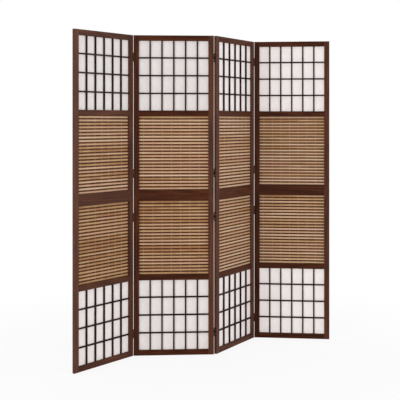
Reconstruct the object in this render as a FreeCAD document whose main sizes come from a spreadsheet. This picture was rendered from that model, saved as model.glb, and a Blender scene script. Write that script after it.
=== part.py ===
import FreeCAD, Part
import math
import os

import Sketcher

from FreeCAD import Placement, Rotation, Vector

# A four-panel folding screen. Each panel is two half frames, one above the other. A half frame
# holds a paper window behind a halved lattice at its outer end, and a woven slat mat at its
# inner end. Butt hinges on the panels' edges join the panels in a zigzag.
#
# A panel is built in its own axes: X runs across it from its left edge, Y goes back from its
# front face, and Z goes up from the floor. "Rise" is the distance from a half's outer end, the
# floor for the lower half and the top for the upper one, so one description serves both.

# Driving sizes, in millimetres and degrees.
SIZES = {
    # whole panel
    "panel_height": 1750.0,
    "panel_width": 440.0,
    "thickness": 16.0,
    "panel_gap": 1.0,  # between the edges of two panels opened flat
    # direction of each panel as it stands, from the line of the whole screen
    "turn_a": 24.8,
    "turn_b": -23.5,
    "turn_c": 31.5,
    "turn_d": -33.1,
    # frame timbers
    "stile_width": 30.0,
    "rail_width": 30.0,
    "arris": 0.8,  # width of the eased edges
    "lattice_height": 381.0,  # window of the lattice, between rails
    "rebate_front": 10.5,  # from the front face to the shoulder that the infill lies on
    "rebate_lip": 6.0,  # how far the rebate runs past the window
    "edge_play": 0.5,  # free space round an infill in its rebate
    # stub tenons of the rails
    "tenon_front": 4.0,
    "tenon_thick": 5.0,
    "tenon_shoulder": 5.0,
    "tenon_length": 20.0,
    "mortise_spare": 1.0,
    # loose tongues that join the two halves through the middle rails
    "tongue_inset": 28.0,
    "tongue_width": 40.0,
    "tongue_reach": 18.0,
    "tongue_spare": 0.5,
    # lattice bars
    "bar_front": 2.0,
    "bar_width": 8.0,
    "lattice_columns": 6,
    "lattice_rows": 4,
    "paper_thick": 0.4,
    # slat mat
    "slat_count": 23,
    "slat_edge": 1.8,  # from a rail to the slat beside it
    "slat_share": 0.6,  # light slat's part of one pitch
    "slat_thick": 2.0,
    "weft_thick": 0.8,
    "bead_play": 0.2,  # between the ends of the strips that hold a mat
    # hinges
    "hinge_inset": 120.0,  # hinge's middle from either end of a half
    "front_offset": 0.8,  # from the axis of a pin in front to the panels' front faces
    "rear_offset": 2.2,  # from the axis of the middle pins to the panels' back faces
    "leaf_height": 48.0,
    "leaf_reach": 12.5,  # along the panel's edge, from its face
    "leaf_thick": 1.2,
    "leaf_play": 0.3,  # from a leaf to the middle of the gap between two panels
    "eye_radius": 1.9,
    "pin_radius": 0.95,
    "pin_play": 0.05,
    "eye_gap": 0.3,
    "notch_spare": 1.0,  # past a hinge's ends, in the notches that its eyes turn in
}

PANELS = ("panel_1", "panel_2", "panel_3", "panel_4")
TURNS = ("turn_a", "turn_b", "turn_c", "turn_d")
HALVES = ("lower", "upper")

document = FreeCAD.newDocument("folding_screen")


# ---------------------------------------------------------------- sizes and their sheet


class Size:
    """A number together with the sheet expression that gives it."""

    def __init__(self, number, text):
        self.number = float(number)
        self.text = text

    def __add__(self, other):
        return joined(self, "+", other, self.number + number_of(other))

    def __sub__(self, other):
        return joined(self, "-", other, self.number - number_of(other))

    def __mul__(self, other):
        return joined(self, "*", other, self.number * number_of(other))

    def __truediv__(self, other):
        return joined(self, "/", other, self.number / number_of(other))

    def __neg__(self):
        return Size(-self.number, f"(0 - {self.text})")


def number_of(value):
    return value.number if isinstance(value, Size) else float(value)


def joined(first, sign, second, number):
    text = second.text if isinstance(second, Size) else f"{second}"
    return Size(number, f"({first.text} {sign} {text})")


def make_sheet():
    """Writes the driving sizes into the document's sheet, one named cell each."""
    sheet = document.addObject("Spreadsheet::Sheet", "sizes")
    for row, (name, number) in enumerate(SIZES.items(), start=1):
        sheet.set(f"A{row}", name)
        sheet.set(f"B{row}", f"{number}")
        sheet.setAlias(f"B{row}", name)
    document.recompute()


def size(name):
    """The driving size of that name."""
    return Size(SIZES[name], f"sizes.{name}")


ZERO = size("thickness") * 0
PANEL_WIDTH = size("panel_width")
PANEL_HEIGHT = size("panel_height")
THICKNESS = size("thickness")
HALF_HEIGHT = PANEL_HEIGHT / 2
STILE = size("stile_width")
RAIL = size("rail_width")
INNER_WIDTH = PANEL_WIDTH - STILE * 2
LIP = size("rebate_lip")
SHOULDER = size("rebate_front")
BAR = size("bar_width")
BAR_DEPTH = SHOULDER - size("bar_front")
CROSSBAR_DEPTH = BAR_DEPTH / 2
TENON_FRONT = size("tenon_front")
TENON_THICK = size("tenon_thick")
TENON_LENGTH = size("tenon_length")

# Windows and rails of a half, each from its outer to its inner rise.
LATTICE_WINDOW = (RAIL, RAIL + size("lattice_height"))
SLAT_WINDOW = (RAIL * 2 + size("lattice_height"), HALF_HEIGHT - RAIL)
WINDOWS = (LATTICE_WINDOW, SLAT_WINDOW)
RAILS = (
    (ZERO, RAIL),
    (LATTICE_WINDOW[1], SLAT_WINDOW[0]),
    (SLAT_WINDOW[1], HALF_HEIGHT),
)

COLUMN_PITCH = (INNER_WIDTH + BAR) / size("lattice_columns")
ROW_PITCH = (size("lattice_height") + BAR) / size("lattice_rows")
SLAT_STRETCH = SLAT_WINDOW[1] - SLAT_WINDOW[0] - size("slat_edge") * 2
SLAT_PITCH = SLAT_STRETCH / (size("slat_count") - 1 + size("slat_share"))
SLAT_WIDTH = SLAT_PITCH * size("slat_share")
UPRIGHTS = int(SIZES["lattice_columns"]) - 1
CROSSBARS = int(SIZES["lattice_rows"]) - 1

EYE_SIDES = 8  # flats of a hinge eye, in place of a round one
EYE_CORNER = size("eye_radius") / round(math.cos(math.pi / EYE_SIDES), 9)
EYE_ROOM = EYE_CORNER + size("eye_gap")


def height_of(half, rise):
    """Height above the floor of a point that lies that far from the half's outer end."""
    return rise if half == "lower" else PANEL_HEIGHT - rise


def span_of(half, rises):
    """Lowest and highest height of a stretch given by two rises."""
    heights = [height_of(half, rise) for rise in rises]
    return sorted(heights, key=number_of)


# ---------------------------------------------------------------- where the panels stand


class Stand:
    """Place of a panel: its front left foot and the direction that it runs in."""

    def __init__(self, x, y, turn):
        self.x = x
        self.y = y
        self.turn = turn

    def point(self, across, back):
        """Floor point at a distance across the panel and back from its front face."""
        angle = math.radians(self.turn)
        x = self.x + across * math.cos(angle) - back * math.sin(angle)
        y = self.y + across * math.sin(angle) + back * math.cos(angle)
        return x, y

    def placement(self, x=0.0, y=0.0):
        return Placement(Vector(self.x, self.y, 0), Rotation(Vector(0, 0, 1), self.turn)) * Placement(
            Vector(x, y, 0), Rotation()
        )


def pin_back(junction):
    """How far behind the front faces the pin of a junction lies: before the first and third
    junctions' faces, which fold front to front, and behind the second one's."""
    if junction == 1:
        return SIZES["thickness"] + SIZES["rear_offset"]
    return -SIZES["front_offset"]


def stand_panels():
    """Stands of the four panels in a chain over their hinge pins, with the middle of the
    whole screen's floor rectangle at the origin."""
    width, gap = SIZES["panel_width"], SIZES["panel_gap"]
    stands = [Stand(0.0, 0.0, SIZES[TURNS[0]])]
    for junction, turn in enumerate(TURNS[1:]):
        pin = stands[-1].point(width + gap / 2, pin_back(junction))
        arm = Stand(0.0, 0.0, SIZES[turn]).point(gap / 2, -pin_back(junction))
        stands.append(Stand(pin[0] + arm[0], pin[1] + arm[1], SIZES[turn]))
    corners = [stand.point(*corner) for stand in stands for corner in floor_corners()]
    middle = [(min(values) + max(values)) / 2 for values in zip(*corners)]
    return [Stand(stand.x - middle[0], stand.y - middle[1], stand.turn) for stand in stands]


def floor_corners():
    """Corners of a panel's floor outline, with its eased edges."""
    width, thick = SIZES["panel_width"], SIZES["thickness"]
    ease = SIZES["arris"]
    ends = [(0.0, ease), (width, -ease)]
    sides = [(0.0, ease), (thick, -ease)]
    return [
        corner
        for across, ease_in in ends
        for back, ease_back in sides
        for corner in ((across + ease_in, back), (across, back + ease_back))
    ]


# ---------------------------------------------------------------- sketches and features


def new_body(label, stand):
    """Empty body of a sub-part, standing where its panel does."""
    body = document.addObject("PartDesign::Body", label)
    body.Label = label
    body.AllowCompound = True
    body.Placement = stand.placement()
    return body


def origin_part(body, role):
    return next(part for part in body.Origin.OriginFeatures if part.Role == role)


def new_sketch(body, role, offset):
    """Sketch on one of the body's own origin planes, moved along the plane's normal."""
    sketch = body.newObject("Sketcher::SketchObject", f"{body.Label}_outline")
    sketch.AttachmentSupport = [(origin_part(body, role), "")]
    sketch.MapMode = "FlatFace"
    sketch.setExpression("AttachmentOffset.Base.z", offset.text)
    return sketch


def add_outline(sketch, corners):
    """Closed outline of straight lines. Each corner is held by its distances from the origin."""
    first = sketch.GeometryCount
    points = [Vector(across.number, along.number, 0) for across, along in corners]
    following = points[1:] + points[:1]
    sketch.addGeometry([Part.LineSegment(a, b) for a, b in zip(points, following)], False)
    lines = range(first, first + len(corners))
    held = [
        Sketcher.Constraint("Coincident", line, 2, after, 1)
        for line, after in zip(lines, [*lines[1:], first])
    ]
    for line, (across, along) in zip(lines, corners):
        held.append(Sketcher.Constraint("DistanceX", -1, 1, line, 1, across.number))
        held.append(Sketcher.Constraint("DistanceY", -1, 1, line, 1, along.number))
    places = sketch.addConstraint(held)[len(corners) :]
    for place, value in zip(places, [value for corner in corners for value in corner]):
        sketch.setExpression(f"Constraints[{place}]", value.text)


def rectangle(low, high):
    return [low, (high[0], low[1]), high, (low[0], high[1])]


def eased_rectangle(low, high):
    """Rectangle with each corner cut off by the eased edge."""
    ease = size("arris")
    (left, near), (right, far) = low, high
    return [
        (left + ease, near),
        (right - ease, near),
        (right, near + ease),
        (right, far - ease),
        (right - ease, far),
        (left + ease, far),
        (left, far - ease),
        (left, near + ease),
    ]


def add_pad(body, sketch, length, backwards=False):
    """Solid pushed out from the sketch, along its normal or, backwards, against it."""
    pad = body.newObject("PartDesign::Pad", f"{body.Label}_pad")
    pad.Profile = sketch
    pad.Reversed = backwards
    pad.setExpression("Length", length.text)
    document.recompute()
    return pad


def add_pocket(body, sketch, length, both_ways=False):
    """Cut against the sketch's normal, or half of it each way. It has to take material away."""
    before = body.Shape.Volume
    pocket = body.newObject("PartDesign::Pocket", f"{body.Label}_pocket")
    pocket.Profile = sketch
    if both_ways:
        pocket.SideType = "Symmetric"
    pocket.setExpression("Length", length.text)
    document.recompute()
    if body.Shape.Volume >= before:
        raise RuntimeError(f"{body.Label}: a pocket cuts nothing")
    return pocket


def add_row(body, features, role, pitch, count):
    """Repeats the features in a straight row along one of the body's origin axes."""
    row = body.newObject("PartDesign::LinearPattern", f"{body.Label}_row")
    row.Originals = features
    row.Direction = (origin_part(body, role), [""])
    row.Occurrences = count
    row.setExpression("Length", (pitch * (count - 1)).text)
    body.Tip = row
    document.recompute()
    return row


def front_sketch(body, back):
    """Sketch in a plane parallel to the panel's front face, at a distance behind it. Its
    across is the panel's, its along is height, and its normal points to the front."""
    return new_sketch(body, "XZ_Plane", -back)


# ---------------------------------------------------------------- frame


def cut_rebates(body, half):
    """Rebates round both windows of a half, from the shoulder to the back face."""
    sketch = front_sketch(body, SHOULDER)
    for window in WINDOWS:
        low, high = span_of(half, window)
        add_outline(sketch, rectangle((STILE - LIP, low - LIP), (PANEL_WIDTH - STILE + LIP, high + LIP)))
    add_pocket(body, sketch, THICKNESS - SHOULDER)


def tenon_outlines(half):
    """End view of the tenons of a half's three rails."""
    inset = size("tenon_shoulder")
    outlines = []
    for rail in RAILS:
        low, high = span_of(half, rail)
        outlines.append(rectangle((TENON_FRONT, low + inset), (TENON_FRONT + TENON_THICK, high - inset)))
    return outlines


def cut_leaf_seats(body, half, panel):
    """Shallow seats for the hinge leaves in the outer edges of a half frame's stiles."""
    depth = size("leaf_play") + size("leaf_thick") - size("panel_gap") / 2
    reach = size("leaf_reach")
    for junction, edge in ((panel - 1, depth), (panel, PANEL_WIDTH)):
        if not 0 <= junction < len(PANELS) - 1:
            continue
        sketch = new_sketch(body, "YZ_Plane", edge)
        near, far = (THICKNESS - reach, THICKNESS) if junction == 1 else (ZERO, reach)
        for middle in (size("hinge_inset"), HALF_HEIGHT - size("hinge_inset")):
            ends = (middle - size("leaf_height") / 2, middle + size("leaf_height") / 2)
            low, high = span_of(half, ends)
            add_outline(sketch, rectangle((near, low), (far, high)))
        add_pocket(body, sketch, depth)


def cut_eye_notches(body, half, panel):
    """Notches in a stile's outer front arris, in which the eyes of the hinges in front turn."""
    deep = EYE_ROOM - size("panel_gap") / 2
    back = EYE_ROOM - size("front_offset")
    for junction, edge in ((panel - 1, deep), (panel, PANEL_WIDTH)):
        if junction not in (0, 2):
            continue
        sketch = new_sketch(body, "YZ_Plane", edge)
        for middle in (size("hinge_inset"), HALF_HEIGHT - size("hinge_inset")):
            reach = size("leaf_height") / 2 + size("notch_spare")
            low, high = span_of(half, (middle - reach, middle + reach))
            add_outline(sketch, rectangle((ZERO, low), (back, high)))
        add_pocket(body, sketch, deep)


def make_stiles(label, half, panel, stand):
    """The two stiles of a half frame, with rebates, blind mortises for the rails and seats
    for the hinge leaves."""
    body = new_body(label, stand)
    low, high = span_of(half, (ZERO, HALF_HEIGHT))
    sketch = new_sketch(body, "XY_Plane", low)
    for left in (ZERO, PANEL_WIDTH - STILE):
        add_outline(sketch, eased_rectangle((left, ZERO), (left + STILE, THICKNESS)))
    add_pad(body, sketch, high - low)
    cut_rebates(body, half)
    sketch = new_sketch(body, "YZ_Plane", PANEL_WIDTH / 2)
    for outline in tenon_outlines(half):
        add_outline(sketch, outline)
    add_pocket(body, sketch, INNER_WIDTH + (TENON_LENGTH + size("mortise_spare")) * 2, both_ways=True)
    cut_leaf_seats(body, half, panel)
    cut_eye_notches(body, half, panel)
    return body


def tongue_lefts():
    """Left edge of each loose tongue."""
    middle = STILE + size("tongue_inset")
    half_width = size("tongue_width") / 2
    return (middle - half_width, PANEL_WIDTH - middle - half_width)


def make_rails(label, half, stand):
    """The three rails of a half frame, each with a stub tenon at both ends. The middle one
    has slots for the loose tongues in the edge that meets the other half."""
    body = new_body(label, stand)
    sketch = new_sketch(body, "YZ_Plane", STILE)
    for rail in RAILS:
        low, high = span_of(half, rail)
        add_outline(sketch, eased_rectangle((ZERO, low), (THICKNESS, high)))
    add_pad(body, sketch, INNER_WIDTH)
    cut_rebates(body, half)
    sketch = new_sketch(body, "YZ_Plane", STILE - TENON_LENGTH)
    for outline in tenon_outlines(half):
        add_outline(sketch, outline)
    add_pad(body, sketch, INNER_WIDTH + TENON_LENGTH * 2)
    sketch = front_sketch(body, TENON_FRONT)
    depth = size("tongue_reach") + size("tongue_spare")
    low, high = span_of(half, (HALF_HEIGHT - depth, HALF_HEIGHT))
    for left in tongue_lefts():
        add_outline(sketch, rectangle((left, low), (left + size("tongue_width"), high)))
    add_pocket(body, sketch, TENON_THICK)
    return body


def make_tongues(label, stand):
    """The loose tongues that stand half in each middle rail and join the two halves."""
    body = new_body(label, stand)
    sketch = front_sketch(body, TENON_FRONT)
    reach = size("tongue_reach")
    for left in tongue_lefts():
        low = (left, HALF_HEIGHT - reach)
        add_outline(sketch, rectangle(low, (left + size("tongue_width"), HALF_HEIGHT + reach)))
    add_pad(body, sketch, TENON_THICK, backwards=True)
    return body


# ---------------------------------------------------------------- lattice and paper


def bar_left():
    """Left edge of the first upright bar."""
    return STILE + COLUMN_PITCH - BAR


def first_row(half):
    """Lowest edge of the lowest crossbar in a half's lattice window."""
    return span_of(half, LATTICE_WINDOW)[0] + ROW_PITCH - BAR


def crossbar_outlines(rows):
    """Front view of the crossbars in the lowest rows of both lattice windows."""
    outlines = []
    for half in HALVES:
        for row in range(rows):
            low = first_row(half) + ROW_PITCH * row
            outlines.append(rectangle((STILE, low), (PANEL_WIDTH - STILE, low + BAR)))
    return outlines


def make_uprights(label, stand):
    """Upright bars of both lattices, notched at the front where the crossbars are let in."""
    body = new_body(label, stand)
    sketch = front_sketch(body, size("bar_front"))
    for half in HALVES:
        low, high = span_of(half, LATTICE_WINDOW)
        add_outline(sketch, rectangle((bar_left(), low), (bar_left() + BAR, high)))
    bar = add_pad(body, sketch, BAR_DEPTH, backwards=True)
    add_row(body, [bar], "X_Axis", COLUMN_PITCH, UPRIGHTS)
    sketch = front_sketch(body, size("bar_front"))
    for outline in crossbar_outlines(CROSSBARS):
        add_outline(sketch, outline)
    add_pocket(body, sketch, CROSSBAR_DEPTH)
    return body


def make_crossbars(label, stand):
    """Crossbars of both lattices, let into the uprights and flush with their fronts."""
    body = new_body(label, stand)
    sketch = front_sketch(body, size("bar_front"))
    for outline in crossbar_outlines(1):
        add_outline(sketch, outline)
    bar = add_pad(body, sketch, CROSSBAR_DEPTH, backwards=True)
    add_row(body, [bar], "Z_Axis", ROW_PITCH, CROSSBARS)
    return body


def infill_outline(half, window):
    """Outline of a sheet that fills a window's rebate, with a little play all round."""
    margin = LIP - size("edge_play")
    low, high = span_of(half, window)
    return rectangle((STILE - margin, low - margin), (PANEL_WIDTH - STILE + margin, high + margin))


def make_paper(label, stand):
    """The two sheets of paper, glued into the rebates behind the lattices."""
    body = new_body(label, stand)
    sketch = front_sketch(body, SHOULDER)
    for half in HALVES:
        add_outline(sketch, infill_outline(half, LATTICE_WINDOW))
    add_pad(body, sketch, size("paper_thick"), backwards=True)
    return body


# ---------------------------------------------------------------- slat mats


def make_slats(label, stand):
    """The light slats of both mats. The first and the last of a mat lie close to the rails."""
    body = new_body(label, stand)
    sketch = front_sketch(body, SHOULDER)
    margin = LIP - size("edge_play")
    for half in HALVES:
        low = span_of(half, SLAT_WINDOW)[0] + size("slat_edge")
        right = PANEL_WIDTH - STILE + margin
        add_outline(sketch, rectangle((STILE - margin, low), (right, low + SLAT_WIDTH)))
    slat = add_pad(body, sketch, size("slat_thick"), backwards=True)
    add_row(body, [slat], "Z_Axis", SLAT_PITCH, int(SIZES["slat_count"]))
    return body


def make_weft(label, stand):
    """The dark weft of both mats, one thin woven sheet behind the light slats of each."""
    body = new_body(label, stand)
    sketch = front_sketch(body, SHOULDER + size("slat_thick"))
    for half in HALVES:
        add_outline(sketch, infill_outline(half, SLAT_WINDOW))
    add_pad(body, sketch, size("weft_thick"), backwards=True)
    return body


def make_beads(label, stand):
    """The four strips behind each mat that hold it in its rebate."""
    body = new_body(label, stand)
    front = SHOULDER + size("slat_thick") + size("weft_thick")
    sketch = front_sketch(body, front)
    play = size("bead_play")
    left, right = STILE, PANEL_WIDTH - STILE
    for half in HALVES:
        low, high = span_of(half, SLAT_WINDOW)
        for edge in (left - LIP, right):
            add_outline(sketch, rectangle((edge, low - LIP), (edge + LIP, high + LIP)))
        for edge in (low - LIP, high):
            add_outline(sketch, rectangle((left + play, edge), (right - play, edge + LIP)))
    add_pad(body, sketch, THICKNESS - front, backwards=True)
    return body


# ---------------------------------------------------------------- hinges
#
# A hinge is built in axes of its own, with the pin upright at the origin, the edge of the
# panel that carries the leaf beside it, and that panel's face one offset along +Y.

BORE_RADIUS = size("pin_radius") + size("pin_play")
EYE_HEIGHT = size("leaf_height") / 3
EYE_GAP = size("eye_gap") / 2
HINGE_FOOT = size("hinge_inset") - size("leaf_height") / 2
HINGE_STEPS = (HALF_HEIGHT - size("hinge_inset") * 2, HALF_HEIGHT)


def hinge_body(label, stand, junction, side):
    """Empty body in a hinge's axes, standing at the panel's edge. Side is -1 for the panel to
    the left of the pin, and the axes are turned half round where the pin is behind it."""
    body = new_body(label, stand)
    width, gap = SIZES["panel_width"], SIZES["panel_gap"]
    across = width + gap / 2 if side < 0 else -gap / 2
    turned = Placement(Vector(), Rotation(Vector(0, 0, 1), 180 if junction == 1 else 0))
    body.Placement = stand.placement(across, pin_back(junction)) * turned
    return body


def add_hinge_rows(body, features):
    """Repeats the lowest hinge at the other end of its half, and both in the upper half."""
    rows = add_row(body, features, "Z_Axis", HINGE_STEPS[0], 2)
    rows.Direction2 = (origin_part(body, "Z_Axis"), [""])
    rows.Occurrences2 = 2
    rows.setExpression("Length2", HINGE_STEPS[1].text)
    document.recompute()


def ring(radius):
    """Corners of a regular outline whose flats lie at that radius."""
    step = 2 * math.pi / EYE_SIDES
    corner = radius / math.cos(step / 2)
    turns = [step * (index + 0.5) for index in range(EYE_SIDES)]
    return [(corner * round(math.cos(turn), 9), corner * round(math.sin(turn), 9)) for turn in turns]


def eye_spans(outer):
    """Lowest and highest point, from the leaf's foot, of each eye of a leaf: the two outer
    ones or the middle one."""
    low, high = EYE_HEIGHT - EYE_GAP, EYE_HEIGHT * 2 + EYE_GAP
    if outer:
        return [(ZERO, low), (high, EYE_HEIGHT * 3)]
    return [(low + EYE_GAP * 2, high - EYE_GAP * 2)]


def plate_outline(outer, junction):
    """Side view of a leaf's plate. It reaches halfway into the walls of the leaf's own eyes
    and stops short of the other leaf's."""
    foot, head = HINGE_FOOT, HINGE_FOOT + size("leaf_height")
    far = size("rear_offset" if junction == 1 else "front_offset") + size("leaf_reach")
    inside = (BORE_RADIUS + size("eye_radius")) / 2
    clear = EYE_ROOM
    low, high = foot + EYE_HEIGHT, foot + EYE_HEIGHT * 2
    if outer:
        low, high = low - EYE_GAP, high + EYE_GAP
        front = [(inside, head), (inside, high), (clear, high), (clear, low), (inside, low), (inside, foot)]
    else:
        low, high = low + EYE_GAP, high - EYE_GAP
        front = [(clear, head), (clear, high), (inside, high), (inside, low), (clear, low), (clear, foot)]
    return [(far, foot), (far, head), *front]


def make_leaves(label, stand, junction, side, outer):
    """The four hinge leaves that a junction has on one panel. Outer ones have two eyes."""
    body = hinge_body(label, stand, junction, side)
    play = size("leaf_play")
    right_of_pin = side * (-1 if junction == 1 else 1) > 0
    left = play if right_of_pin else -(play + size("leaf_thick"))
    sketch = new_sketch(body, "YZ_Plane", left)
    add_outline(sketch, plate_outline(outer, junction))
    features = [add_pad(body, sketch, size("leaf_thick"))]
    for low, high in eye_spans(outer):
        sketch = new_sketch(body, "XY_Plane", HINGE_FOOT + low)
        add_outline(sketch, ring(size("eye_radius")))
        add_outline(sketch, ring(BORE_RADIUS))
        features.append(add_pad(body, sketch, high - low))
    add_hinge_rows(body, features)
    return body


def make_pins(label, stand, junction, side):
    """The four pins of a junction, each through the three eyes of its hinge."""
    body = hinge_body(label, stand, junction, side)
    sketch = new_sketch(body, "XY_Plane", HINGE_FOOT)
    sketch.addGeometry(Part.Circle(Vector(), Vector(0, 0, 1), SIZES["pin_radius"]), False)
    sketch.addConstraint(Sketcher.Constraint("Coincident", 0, 3, -1, 1))
    radius = sketch.addConstraint(Sketcher.Constraint("Radius", 0, SIZES["pin_radius"]))
    sketch.setExpression(f"Constraints[{radius}]", size("pin_radius").text)
    pin = add_pad(body, sketch, size("leaf_height"))
    add_hinge_rows(body, [pin])
    return body


# ---------------------------------------------------------------- assembly


def make_panel(panel, stand):
    """Every sub-part of one panel."""
    name = PANELS[panel]
    parts = []
    for half in HALVES:
        parts.append(make_stiles(f"{name}_{half}_stiles", half, panel, stand))
        parts.append(make_rails(f"{name}_{half}_rails", half, stand))
    parts.append(make_tongues(f"{name}_joining_tongues", stand))
    parts.append(make_uprights(f"{name}_lattice_uprights", stand))
    parts.append(make_crossbars(f"{name}_lattice_crossbars", stand))
    parts.append(make_paper(f"{name}_paper", stand))
    parts.append(make_slats(f"{name}_slats", stand))
    parts.append(make_weft(f"{name}_slat_weft", stand))
    parts.append(make_beads(f"{name}_mat_beads", stand))
    return parts


def make_junction(junction, stands):
    """Leaves and pins of the hinges between a panel and the next. The outer eyes and the
    pins are on the panel nearer to the second one, which the others fold towards."""
    names = (f"{junction + 1}", f"{junction + 2}")
    prefix = f"hinges_{names[0]}_{names[1]}"
    left, right = stands[junction], stands[junction + 1]
    left_outer = junction > 0
    parts = [
        make_leaves(f"{prefix}_leaves_on_panel_{names[0]}", left, junction, -1, left_outer),
        make_leaves(f"{prefix}_leaves_on_panel_{names[1]}", right, junction, 1, not left_outer),
    ]
    if left_outer:
        parts.append(make_pins(f"{prefix}_pins", left, junction, -1))
    else:
        parts.append(make_pins(f"{prefix}_pins", right, junction, 1))
    return parts


def check(parts):
    """Stops the build where an object of the document failed or a sub-part is not sound."""
    for thing in document.Objects:
        if {"Invalid", "Error"} & set(thing.State):
            raise RuntimeError(f"{thing.Label} did not build: {thing.State}")
    for part in parts:
        if part.Shape.isNull() or not part.Shape.isValid():
            raise RuntimeError(f"{part.Label} has no sound shape")


def main():
    make_sheet()
    stands = stand_panels()
    parts = [part for panel, stand in enumerate(stands) for part in make_panel(panel, stand)]
    for junction in range(len(PANELS) - 1):
        parts += make_junction(junction, stands)
    document.recompute()
    check(parts)
    os.makedirs("parts", exist_ok=True)
    for part in parts:
        part.Shape.exportStep(f"parts/{part.Label}.step")
    for junction, stand in enumerate(stands[:-1]):
        pin = stand.point(SIZES["panel_width"] + SIZES["panel_gap"] / 2, pin_back(junction))
        print(f"pin {junction + 1}: {pin[0]:.4f} {pin[1]:.4f}")


main()
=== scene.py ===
"""Looks of a four-panel folding screen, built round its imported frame.

Each panel is two half frames of stained wood, one above the other. A half has a paper window
behind a lattice at its outer end, and a mat of pale slats and dark strips, tied with cotton
warps, at its inner end. Butt hinges on the panels' edges join them.

Shapes are worked out in a panel's own axes: across from its left edge, back from its front
face and up from the floor. A Place carries them into the frame of the whole screen.
"""

import logging
import math
from collections.abc import Sequence
from dataclasses import dataclass, field
from enum import Enum

import bpy
import numpy as np
from numpy.typing import NDArray
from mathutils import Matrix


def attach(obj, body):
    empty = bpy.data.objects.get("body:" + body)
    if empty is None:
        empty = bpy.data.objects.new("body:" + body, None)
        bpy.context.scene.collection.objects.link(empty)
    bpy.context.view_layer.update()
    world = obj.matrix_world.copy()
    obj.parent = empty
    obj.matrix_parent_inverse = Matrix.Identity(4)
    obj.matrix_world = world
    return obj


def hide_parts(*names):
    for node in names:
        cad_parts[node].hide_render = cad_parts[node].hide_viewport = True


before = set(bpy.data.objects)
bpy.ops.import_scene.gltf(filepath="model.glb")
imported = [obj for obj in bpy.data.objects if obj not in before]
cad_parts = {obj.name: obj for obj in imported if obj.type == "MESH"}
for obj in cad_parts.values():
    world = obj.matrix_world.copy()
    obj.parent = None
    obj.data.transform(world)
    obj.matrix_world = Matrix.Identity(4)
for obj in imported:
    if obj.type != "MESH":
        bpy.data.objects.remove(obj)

Array = NDArray[np.float64]
Faces = NDArray[np.int64]
Colour = tuple[float, float, float]
Waves = tuple[float, float, float]
Span = tuple[float, float]
Corner = tuple[float, ...]
Socket = bpy.types.NodeSocket

WHITE = (1.0, 1.0, 1.0, 1.0)
WELD_DIGITS = 7  # Points of a shape that agree in this many decimals of a metre become one.
GRAIN_SPREAD = 9.0  # Shapes read their patterns up to this many metres apart.
PANEL_SEEDS = 1000  # Seeds of one panel's pieces lie this far from those of the next.
HINGE_SEEDS = 7000  # Seeds of the hinges' pieces begin here.
LOG = logging.getLogger("screen")
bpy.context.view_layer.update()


# ---------------------------------------------------------------- places and sizes


@dataclass(frozen=True)
class Place:
    """Upright axes somewhere on the floor, turned about the vertical."""

    x: float
    y: float
    turn: float

    def further(self, across: float, back: float, turn: float = 0.0) -> "Place":
        """Axes that stand across and back from these, turned further.

        Args:
            across: Distance along these axes' own across.
            back: Distance along their own back.
            turn: Extra turn in radians.

        Returns:
            The new place.
        """
        cos, sin = math.cos(self.turn), math.sin(self.turn)
        x = self.x + across * cos - back * sin
        y = self.y + across * sin + back * cos
        return Place(x, y, self.turn + turn)

    def to_row(self, points: Array) -> Array:
        """Carries points from these axes into the frame of the whole screen.

        Args:
            points: Points with across, back and up in the last dimension.

        Returns:
            The turned and moved points, in an array of the same shape.
        """
        cos, sin = math.cos(self.turn), math.sin(self.turn)
        across, back, up = np.moveaxis(points, -1, 0)
        return np.stack((self.x + across * cos - back * sin, self.y + across * sin + back * cos, up), axis=-1)


class Half(Enum):
    """The two half frames of a panel."""

    LOWER = "lower"
    UPPER = "upper"


class Run(Enum):
    """The way that a bar's length goes in its panel."""

    UP = "up"
    ACROSS = "across"


@dataclass(frozen=True)
class PanelSizes:
    """Driving sizes of a panel, in metres. Rise is the distance from a half's outer end."""

    height: float = 1.750
    width: float = 0.440
    thickness: float = 0.016
    gap: float = 0.0010
    stile: float = 0.030
    rail: float = 0.030
    arris: float = 0.0008
    lattice_height: float = 0.381
    shoulder: float = 0.0105
    lip: float = 0.006
    play: float = 0.0005
    bar: float = 0.008
    bar_front: float = 0.002
    bar_arris: float = 0.0005
    columns: int = 6
    rows: int = 4
    paper: float = 0.0004
    slats: int = 23
    slat_share: float = 0.6
    slat_edge: float = 0.0018
    slat_thick: float = 0.002
    strip_thick: float = 0.0008
    strip_lap: float = 0.0008
    turns: tuple[float, ...] = (24.8, -23.5, 31.5, -33.1)

    @property
    def half(self) -> float:
        """Height of a half frame."""
        return self.height / 2

    @property
    def lattice_window(self) -> tuple[float, float]:
        """Outer and inner rise of the paper window."""
        return self.rail, self.rail + self.lattice_height

    @property
    def mat_window(self) -> tuple[float, float]:
        """Outer and inner rise of the mat."""
        return self.rail * 2 + self.lattice_height, self.half - self.rail

    @property
    def rails(self) -> tuple[tuple[float, float], ...]:
        """Outer and inner rise of each rail of a half."""
        outer, inner = self.lattice_window, self.mat_window
        return (0.0, self.rail), (outer[1], inner[0]), (inner[1], self.half)

    @property
    def column_pitch(self) -> float:
        """Distance from one upright bar to the next."""
        return (self.width - self.stile * 2 + self.bar) / self.columns

    @property
    def row_pitch(self) -> float:
        """Distance from one crossbar to the next."""
        return (self.lattice_height + self.bar) / self.rows

    @property
    def slat_pitch(self) -> float:
        """Distance from one pale slat to the next."""
        stretch = self.mat_window[1] - self.mat_window[0] - self.slat_edge * 2
        return stretch / (self.slats - 1 + self.slat_share)

    def span(self, half: Half, rises: tuple[float, float]) -> tuple[float, float]:
        """Lowest and highest height of a stretch of a half.

        Args:
            half: The half that it is in.
            rises: Its outer and inner rise.

        Returns:
            Heights above the floor, the lower one first.
        """
        if half is Half.LOWER:
            return rises
        return self.height - rises[1], self.height - rises[0]


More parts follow.
